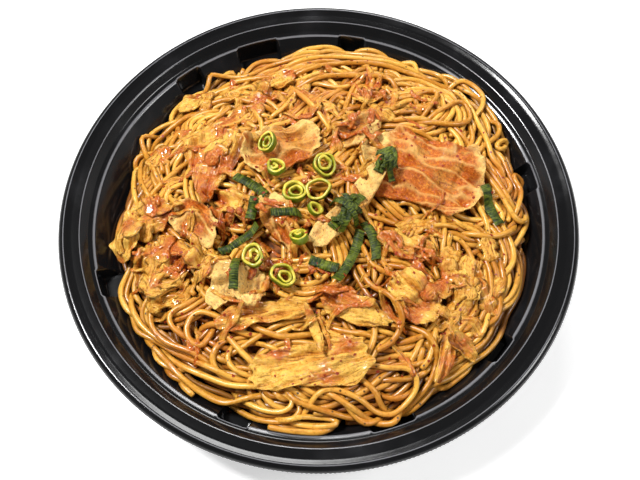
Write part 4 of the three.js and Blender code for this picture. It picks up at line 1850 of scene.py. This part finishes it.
@dataclass
class OnionRing:
    """A cut of spring onion: a green tube, squeezed out of round, with a loose layer inside."""

    node: bpy.types.Object
    seed: int
    wall: float = 1.15
    sides: int = 36

    def build(self, bed: Bed, finish: bpy.types.Material) -> bpy.types.Object:
        """Makes the ring and adds it to the bed."""
        rng = np.random.default_rng(self.seed)
        points = corners(self.node.data)
        middle = (points.max(axis=0) + points.min(axis=0)) / 2
        frame = self._frame(points - middle)
        local = (points - middle) @ frame.T
        outer = np.linalg.norm(local[:, :2], axis=1).max()
        tall = local[:, 2].max() - local[:, 2].min()
        verts, faces, skin = [], [], []
        for shell in self._shells(outer, rng):
            base = sum(len(v) for v in verts)
            rings, shade = self._sweep(shell, tall * rng.uniform(0.42, 0.52), rng)
            verts.append(rings.reshape(-1, 3))
            skin.append(shade)
            faces += self._skin_faces(rings.shape[0], rings.shape[1], base, shell.opening > 0)
        made = middle + self._squeezed(np.vstack(verts), rng) @ frame
        low = np.percentile(made[:, 2], 8)
        made[:, 2] -= np.clip(low - bed.under(middle[None, :2], 3.0)[0] - 0.2, -3, 9)
        piece = make_piece(self.node.name + "_cut", made, faces)
        piece.data.shade_smooth()
        store(piece.data, "skin", np.concatenate(skin))
        activate(piece)
        bpy.ops.object.mode_set(mode="EDIT")
        bpy.ops.mesh.select_all(action="SELECT")
        bpy.ops.mesh.normals_make_consistent(inside=False)
        bpy.ops.object.mode_set(mode="OBJECT")
        bed.add(made)
        seat(piece, finish, "onion_ring", self.node.name)
        return piece

    @staticmethod
    def _frame(points: np.ndarray) -> np.ndarray:
        """Two directions across a ring and its axis, as rows."""
        _, vectors = np.linalg.eigh(np.cov(points.T))
        axis = vectors[:, 0] * (1 if vectors[2, 0] > 0 else -1)
        beside = np.cross(axis, (1.0, 0.0, 0.0))
        beside /= np.linalg.norm(beside)
        return np.array([beside, np.cross(axis, beside), axis])

    @staticmethod
    def _squeezed(points: np.ndarray, rng: np.random.Generator) -> np.ndarray:
        """The points squeezed out of round in a random direction."""
        squash, lean = rng.uniform(0.74, 0.94), rng.uniform(0, math.pi)
        turn = np.array([[math.cos(lean), -math.sin(lean)], [math.sin(lean), math.cos(lean)]])
        made = points.copy()
        made[:, :2] = (made[:, :2] @ turn * (1, squash)) @ turn.T
        return made

    def _shells(self, outer: float, rng: np.random.Generator) -> list[Shell]:
        """Chooses the layers of a ring of that outer radius."""
        opened = 0.5 if rng.random() < 0.3 else 0.0
        shells = [Shell(outer - self.wall / 2, (0.0, 0.0), opened)]
        room = outer - 1.5 * self.wall
        if outer > 3.8 and rng.random() < 0.75:
            inner = room * rng.uniform(0.62, 0.8)
            way = rng.uniform(0, math.tau)
            slack = room - inner - 0.1
            shift = (slack * math.cos(way), slack * math.sin(way))
            shells.append(Shell(inner, shift, rng.choice([0.0, 0.9]), rng.uniform(0, 0.9)))
        return shells

    def _sweep(
        self, shell: Shell, high: float, rng: np.random.Generator
    ) -> tuple[np.ndarray, np.ndarray]:
        """Sweeps the wall's section round a layer.

        Args:
            shell: The layer.
            high: Half its height.
            rng: Source of its unevenness.

        Returns:
            Rings of points, and how much each point takes the green skin's colour, on the inner wall as
            painted shade.
        """
        start = rng.uniform(0, math.tau)
        closed = shell.opening == 0
        turn = start + np.linspace(0, math.tau - shell.opening, self.sides, endpoint=not closed)
        share = (turn - start) / math.tau
        wobble = 1 + 0.05 * np.sin(3 * turn + rng.uniform(0, 6))
        wobble += 0.03 * np.sin(5 * turn + rng.uniform(0, 6))
        radius = shell.radius * wobble - (0 if closed else shell.spiral) * share
        tilt = 0.12 * high * np.sin(turn + rng.uniform(0, 6)) + 0.1 * np.sin(4 * turn)
        half, soft = self.wall / 2 * rng.uniform(0.85, 1.15), 0.2
        # The last number of each point is its share of the skin's green; the inner wall's share is
        # painted shade in the ring's hollow.
        section = [
            (half, -high + soft, 1.0),
            (half, 0.0, 1.0),
            (half, high - soft, 0.8),
            (half - soft, high, 0.25),
            (soft - half, high, 0.0),
            (-half, high - soft, 0.1),
            (-half, 0.0, 0.35),
            (-half, soft - high, 0.35),
            (soft - half, -high, 0.0),
            (half - soft, -high, 0.25),
        ]
        rings = []
        for angle, reach, lift in zip(turn, radius, tilt):
            out = np.array([math.cos(angle), math.sin(angle)])
            spots = [out * (reach + across) + shell.shift for across, _, _ in section]
            rings.append([(*spot, rise + lift) for spot, (_, rise, _) in zip(spots, section)])
        return np.array(rings), np.tile([row[2] for row in section], len(rings))

    @staticmethod
    def _skin_faces(rings: int, across: int, base: int, opened: bool) -> list[list[int]]:
        """Faces between rings of points, with the two ends closed if the layer is open."""
        faces = []
        for k in range(rings - 1 if opened else rings):
            here, there = base + k * across, base + (k + 1) % rings * across
            for i in range(across):
                j = (i + 1) % across
                faces.append([here + i, here + j, there + j, there + i])
        if opened:
            faces.append([base + i for i in range(across)][::-1])
            faces.append([base + (rings - 1) * across + i for i in range(across)])
        return faces


@dataclass(frozen=True)
class Drift:
    """A place where shreds gather: its middle, its spread and its share of them."""

    middle: tuple[float, float]
    spread: tuple[float, float]
    share: float


LOOSE_SHREDS = (
    Drift((-60, -28), (10, 9), 0.2),
    Drift((-22, -8), (14, 9), 0.16),
    Drift((-12, -26), (9, 5), 0.08),
    Drift((8, 12), (8, 6), 0.08),
    Drift((34, -20), (12, 7), 0.16),
    Drift((14, 36), (12, 7), 0.1),
    Drift((-2, 58), (22, 9), 0.08),
    Drift((-64, 22), (9, 14), 0.1),
    Drift((0, -45), (26, 6), 0.08),
)

# Broad torn leaves that fill the ground between the larger ones.
TORN_LEAVES = (
    Drift((-46, 42), (12, 6), 0.2),
    Drift((-20, 54), (12, 5), 0.14),
    Drift((-68, 14), (5, 10), 0.12),
    Drift((-66, -12), (7, 7), 0.12),
    Drift((-56, -40), (9, 7), 0.12),
    Drift((12, 50), (14, 5), 0.08),
    Drift((54, -30), (9, 8), 0.1),
    Drift((60, -46), (7, 7), 0.08),
    Drift((-30, -36), (12, 5), 0.06),
)

# Darker, redder scraps in the hollows between the toppings.
CHILLI_SCRAPS = (
    Drift((-35, -11), (3, 3), 0.25),
    Drift((-7, 8), (3, 3), 0.2),
    Drift((-20, -29), (4, 2), 0.25),
    Drift((-6, -28), (3, 2), 0.2),
    Drift((-5, -9), (2, 2), 0.1),
)


@dataclass
class Shreds:
    """Small torn ribbons among the toppings.

    Attributes:
        name: The piece's name.
        places: Where they gather.
        seed: Picks their places and shapes.
        count: How many are dropped.
        length: Their least and greatest length.
        width: Their least and greatest width.
        flatness: Their height as a share of their width.
        relief: Height and width of their small waves.
    """

    name: str
    places: tuple[Drift, ...]
    seed: int
    count: int
    length: tuple[float, float]
    width: tuple[float, float]
    flatness: float = 0.32
    relief: tuple[float, float] = (0.3, 1.8)

    def build(self, bed: Bed, outline: Outline, finish: bpy.types.Material) -> bpy.types.Object:
        """Lays the ribbons over what is there, within the heap's outline."""
        rng = np.random.default_rng(self.seed)
        tubes = TubeMesh(sides=8, squareness=0.1)
        shares = np.array([place.share for place in self.places])
        for _ in range(self.count):
            place = self.places[rng.choice(len(self.places), p=shares / shares.sum())]
            spot = rng.normal(place.middle, place.spread)
            heading, bend = rng.uniform(0, math.tau), rng.normal(0, 0.09)
            length = rng.uniform(*self.length)
            turns = heading + bend * np.arange(0, length, 1.0)
            route = spot + np.cumsum(np.column_stack([np.cos(turns), np.sin(turns)]), axis=0)
            width = rng.uniform(*self.width)
            reach = outline.radius(np.arctan2(route[:, 1], route[:, 0])) - 3
            if (np.hypot(route[:, 0], route[:, 1]) > reach).any():
                continue
            spine = np.column_stack([route, bridged(bed.under(route, 1.2) - 0.1, 3, 0.2)])
            t = np.linspace(0, 1, len(route))
            taper = width * (0.55 + 0.45 * np.sin(math.pi * t) ** 0.4)
            taper *= 1 + 0.3 * np.sin(11 * t + width)
            tubes.add(spine, taper, rng.random(), self.flatness, np.zeros(len(spine)))
            bed.ground.stamp(spine, 0.6)
        piece = tubes.piece(self.name)
        points = corners(piece.data)
        lift, span = self.relief
        points[:, 2] += lift * noise_at(points * (1, 1, 0), span, 4.0)
        move_corners(piece.data, points)
        store(piece.data, "crease", 0.5 + 0.5 * noise_at(points, 1.2, 8.0))
        seat(piece, finish, "cabbage")
        return piece


@dataclass
class Flakes:
    """Flakes of chilli scattered over the food."""

    count: int = 420
    reach: float = 78.0
    size: tuple[float, float] = (0.2, 0.75)
    thick: float = 0.12
    steepest: float = 0.25
    seed: int = 5

    def build(self, food: BVHTree, finish: bpy.types.Material) -> bpy.types.Object:
        """Drops flakes on the food and lays each along the surface it meets."""
        rng = np.random.default_rng(self.seed)
        points, faces = [], []
        corner = np.array([(1, 0.2), (0.3, 1), (-0.8, 0.7), (-1, -0.4), (0.1, -1)])
        for _ in range(self.count):
            angle, far = rng.uniform(0, math.tau), self.reach * math.sqrt(rng.uniform(0, 1))
            start = Vector((far * math.cos(angle), far * math.sin(angle), Field.OVERHEAD)) * MM
            spot, normal, _, _ = food.ray_cast(start, Vector((0, 0, -1)))
            if spot is None or normal.z < self.steepest:
                continue
            frame = normal.to_track_quat("Z", "Y").to_matrix()
            turn = Matrix.Rotation(rng.uniform(0, math.tau), 3, "Z")
            size, stretch = rng.uniform(*self.size), rng.uniform(0.5, 1)
            base = len(points)
            for level in (0.0, 2 * self.thick):
                for x, y in corner * rng.uniform(0.8, 1.15, (5, 1)):
                    local = Vector((x * size, y * size * stretch, level))
                    points.append(spot / MM + frame @ (turn @ local))
            n = len(corner)
            faces += [[base + k for k in range(n)][::-1], [base + n + k for k in range(n)]]
            for k in range(n):
                j = (k + 1) % n
                faces.append([base + k, base + j, base + n + j, base + n + k])
        piece = make_piece("chilli_flakes", np.array([tuple(p) for p in points]), faces)
        seat(piece, finish, "cabbage")
        return piece


# ------ stage


@dataclass
class Studio:
    """Table, soft lights and the camera.

    Attributes:
        aim: What the camera looks at.
        stand: Where it stands.
        lens: Its focal length.
        room: Shades of the room by height, from the floor to the ceiling.
        daylight: Strength of the room's light.
    """

    aim: tuple[float, float, float] = (0.52, -15.15, 30.0)
    stand: tuple[float, float, float] = (0.52, -152.84, 316.09)
    lens: float = 45.06
    room: tuple = ((0.0, 0x909090), (0.1, 0xFFFFFF), (0.34, 0xFFFFFF), (0.5, 0x787878), (1.0, 0x707070))
    daylight: float = 0.5

    def table(self) -> None:
        """Lays a plain white table under the tray."""
        bpy.ops.mesh.primitive_circle_add(vertices=96, radius=2.5, fill_type="NGON", location=(0, 0, 0))
        floor = bpy.context.object
        floor.name = "table"
        floor.data.materials.append(TableFinish().material())
        floor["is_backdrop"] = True

    def light(self, name: str, place: tuple[float, float, float], size: float, power: float) -> None:
        """Adds a square soft light that faces the food."""
        data = bpy.data.lights.new(name, "AREA")
        data.shape, data.size, data.energy = "SQUARE", size, power
        lamp = bpy.data.objects.new(name, data)
        bpy.context.collection.objects.link(lamp)
        lamp.location = place
        lamp.rotation_euler = (Vector((0, 0, 0.02)) - lamp.location).to_track_quat("-Z", "Y").to_euler()

    def camera(self) -> None:
        """Sets the camera."""
        data = bpy.data.cameras.new("camera")
        data.lens, data.sensor_width = self.lens, 36.0
        data.clip_start, data.clip_end = 0.01, 20
        camera = bpy.data.objects.new("camera", data)
        bpy.context.collection.objects.link(camera)
        camera.location = Vector(self.stand) * MM
        look = Vector(self.aim) * MM - camera.location
        camera.rotation_euler = look.to_track_quat("-Z", "Y").to_euler()
        bpy.context.scene.camera = camera

    def surroundings(self) -> bpy.types.World:
        """A dim room with a paler band of wall low down all round."""
        world = bpy.data.worlds.new("surroundings")
        world.use_nodes = True
        tree = world.node_tree
        ways = tree.nodes.new("ShaderNodeTexCoord")
        parts = tree.nodes.new("ShaderNodeSeparateXYZ")
        ramp = tree.nodes.new("ShaderNodeValToRGB")
        NodeBook.fill_ramp(ramp.color_ramp, [(place, rgb(shade)) for place, shade in self.room])
        tree.links.new(ways.outputs["Generated"], parts.inputs[0])
        tree.links.new(parts.outputs["Z"], ramp.inputs[0])
        tree.links.new(ramp.outputs["Color"], tree.nodes["Background"].inputs["Color"])
        tree.nodes["Background"].inputs["Strength"].default_value = self.daylight
        return world

    def build(self) -> None:
        """Sets up the whole stage."""
        self.table()
        self.camera()
        self.light("key", (-0.5, 0.15, 0.95), 0.22, 14.5)
        self.light("fill", (0.7, -0.1, 0.8), 0.3, 4.0)
        self.light("rear", (0.1, 0.95, 0.7), 0.3, 4.0)
        bpy.context.scene.world = self.surroundings()
        bpy.context.scene.view_settings.view_transform = "Standard"


# ------ assembly


def box_now() -> list[list[float]]:
    """The whole object's lowest and highest corners."""
    return [list(corner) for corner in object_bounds()]


def main() -> None:
    """Builds the dish piece by piece."""
    logging.basicConfig(level=logging.INFO, format="%(name)s: %(message)s")
    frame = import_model()
    cad_box = box_now()
    nodes = frame["nodes"]
    deselect()
    slot_of = {part["node"]: part["material_slot"] for part in frame["record"]["subparts"]}
    topping_names = [name for name in slot_of if name not in ("tray", "noodles")]
    finishes = {
        "pork": PorkFinish("pork_lean").material(),
        "pork_fat": PorkFinish("pork_fat", fatness=0.9, coating=0.22, zoning=0.5).material(),
        "cabbage": CabbageFinish("pickled_cabbage").material(),
        "leek_green": LeafFinish().material(),
        "onion_ring": RingFinish().material(),
    }

    Tray().build(FormedPlastic().material())
    log.info("tray built")

    noodles = Noodles()
    core = noodles.core(nodes["noodles"], DeepNoodleFinish().material())
    toppings = [nodes[name] for name in topping_names]
    outline = Outline.of(nodes["noodles"])
    routes = noodles.settle(
        outline,
        solids_tree([nodes["tray"]]),
        solids_tree([core]),
        solids_tree([nodes["noodles"]]),
        solids_tree(toppings),
    )
    strands = noodles.build(routes, NoodleFinish().material())
    log.info("noodles laid")

    bed = Bed(Field.cast(solids_tree([core, *strands]), Side.ABOVE, 0.0))
    laid = []
    for number, name in enumerate(topping_names):
        slot = slot_of[name]
        if slot in CUTS:
            laid.append(Slice(nodes[name], CUTS[slot], number * 1.7).build(bed, finishes[slot]))
    log.info("%d slices laid", len(laid))
    loose = Shreds("cabbage_shreds_loose", LOOSE_SHREDS, 21, 210, (5.0, 17.0), (1.0, 3.2))
    shreds = loose.build(bed, outline, CabbageFinish("shredded_cabbage", stained=0.6).material())
    red = CabbageFinish("chilli_scraps", rgb(0xC8701C), rgb(0xA8360A), rgb(0x8E1C04), rgb(0x4A1002))
    scraps = Shreds("chilli_scraps", CHILLI_SCRAPS, 8, 40, (3.0, 8.0), (1.2, 3.0))
    scraps.build(bed, outline, red.material())
    torn = Shreds("cabbage_torn_leaves", TORN_LEAVES, 33, 60, (8.0, 20.0), (3.0, 6.5), 0.15, (1.1, 5.0))
    laid.append(torn.build(bed, outline, finishes["cabbage"]))
    for number, name in enumerate(topping_names):
        slot = slot_of[name]
        if slot == "onion_ring":
            laid.append(OnionRing(nodes[name], number).build(bed, finishes[slot]))
        elif slot == "leek_green":
            strip = LeafStrip(nodes[name], number, cad_box[1][2] / MM - 0.3)
            laid.append(strip.build(bed, finishes[slot]))
    log.info("%d toppings laid", len(laid))
    Flakes().build(solids_tree([*strands, *laid, shreds]), ChilliFinish().material())
    log.info("shreds and flakes scattered")

    Studio().build()


if __name__ == "__main__":
    main()
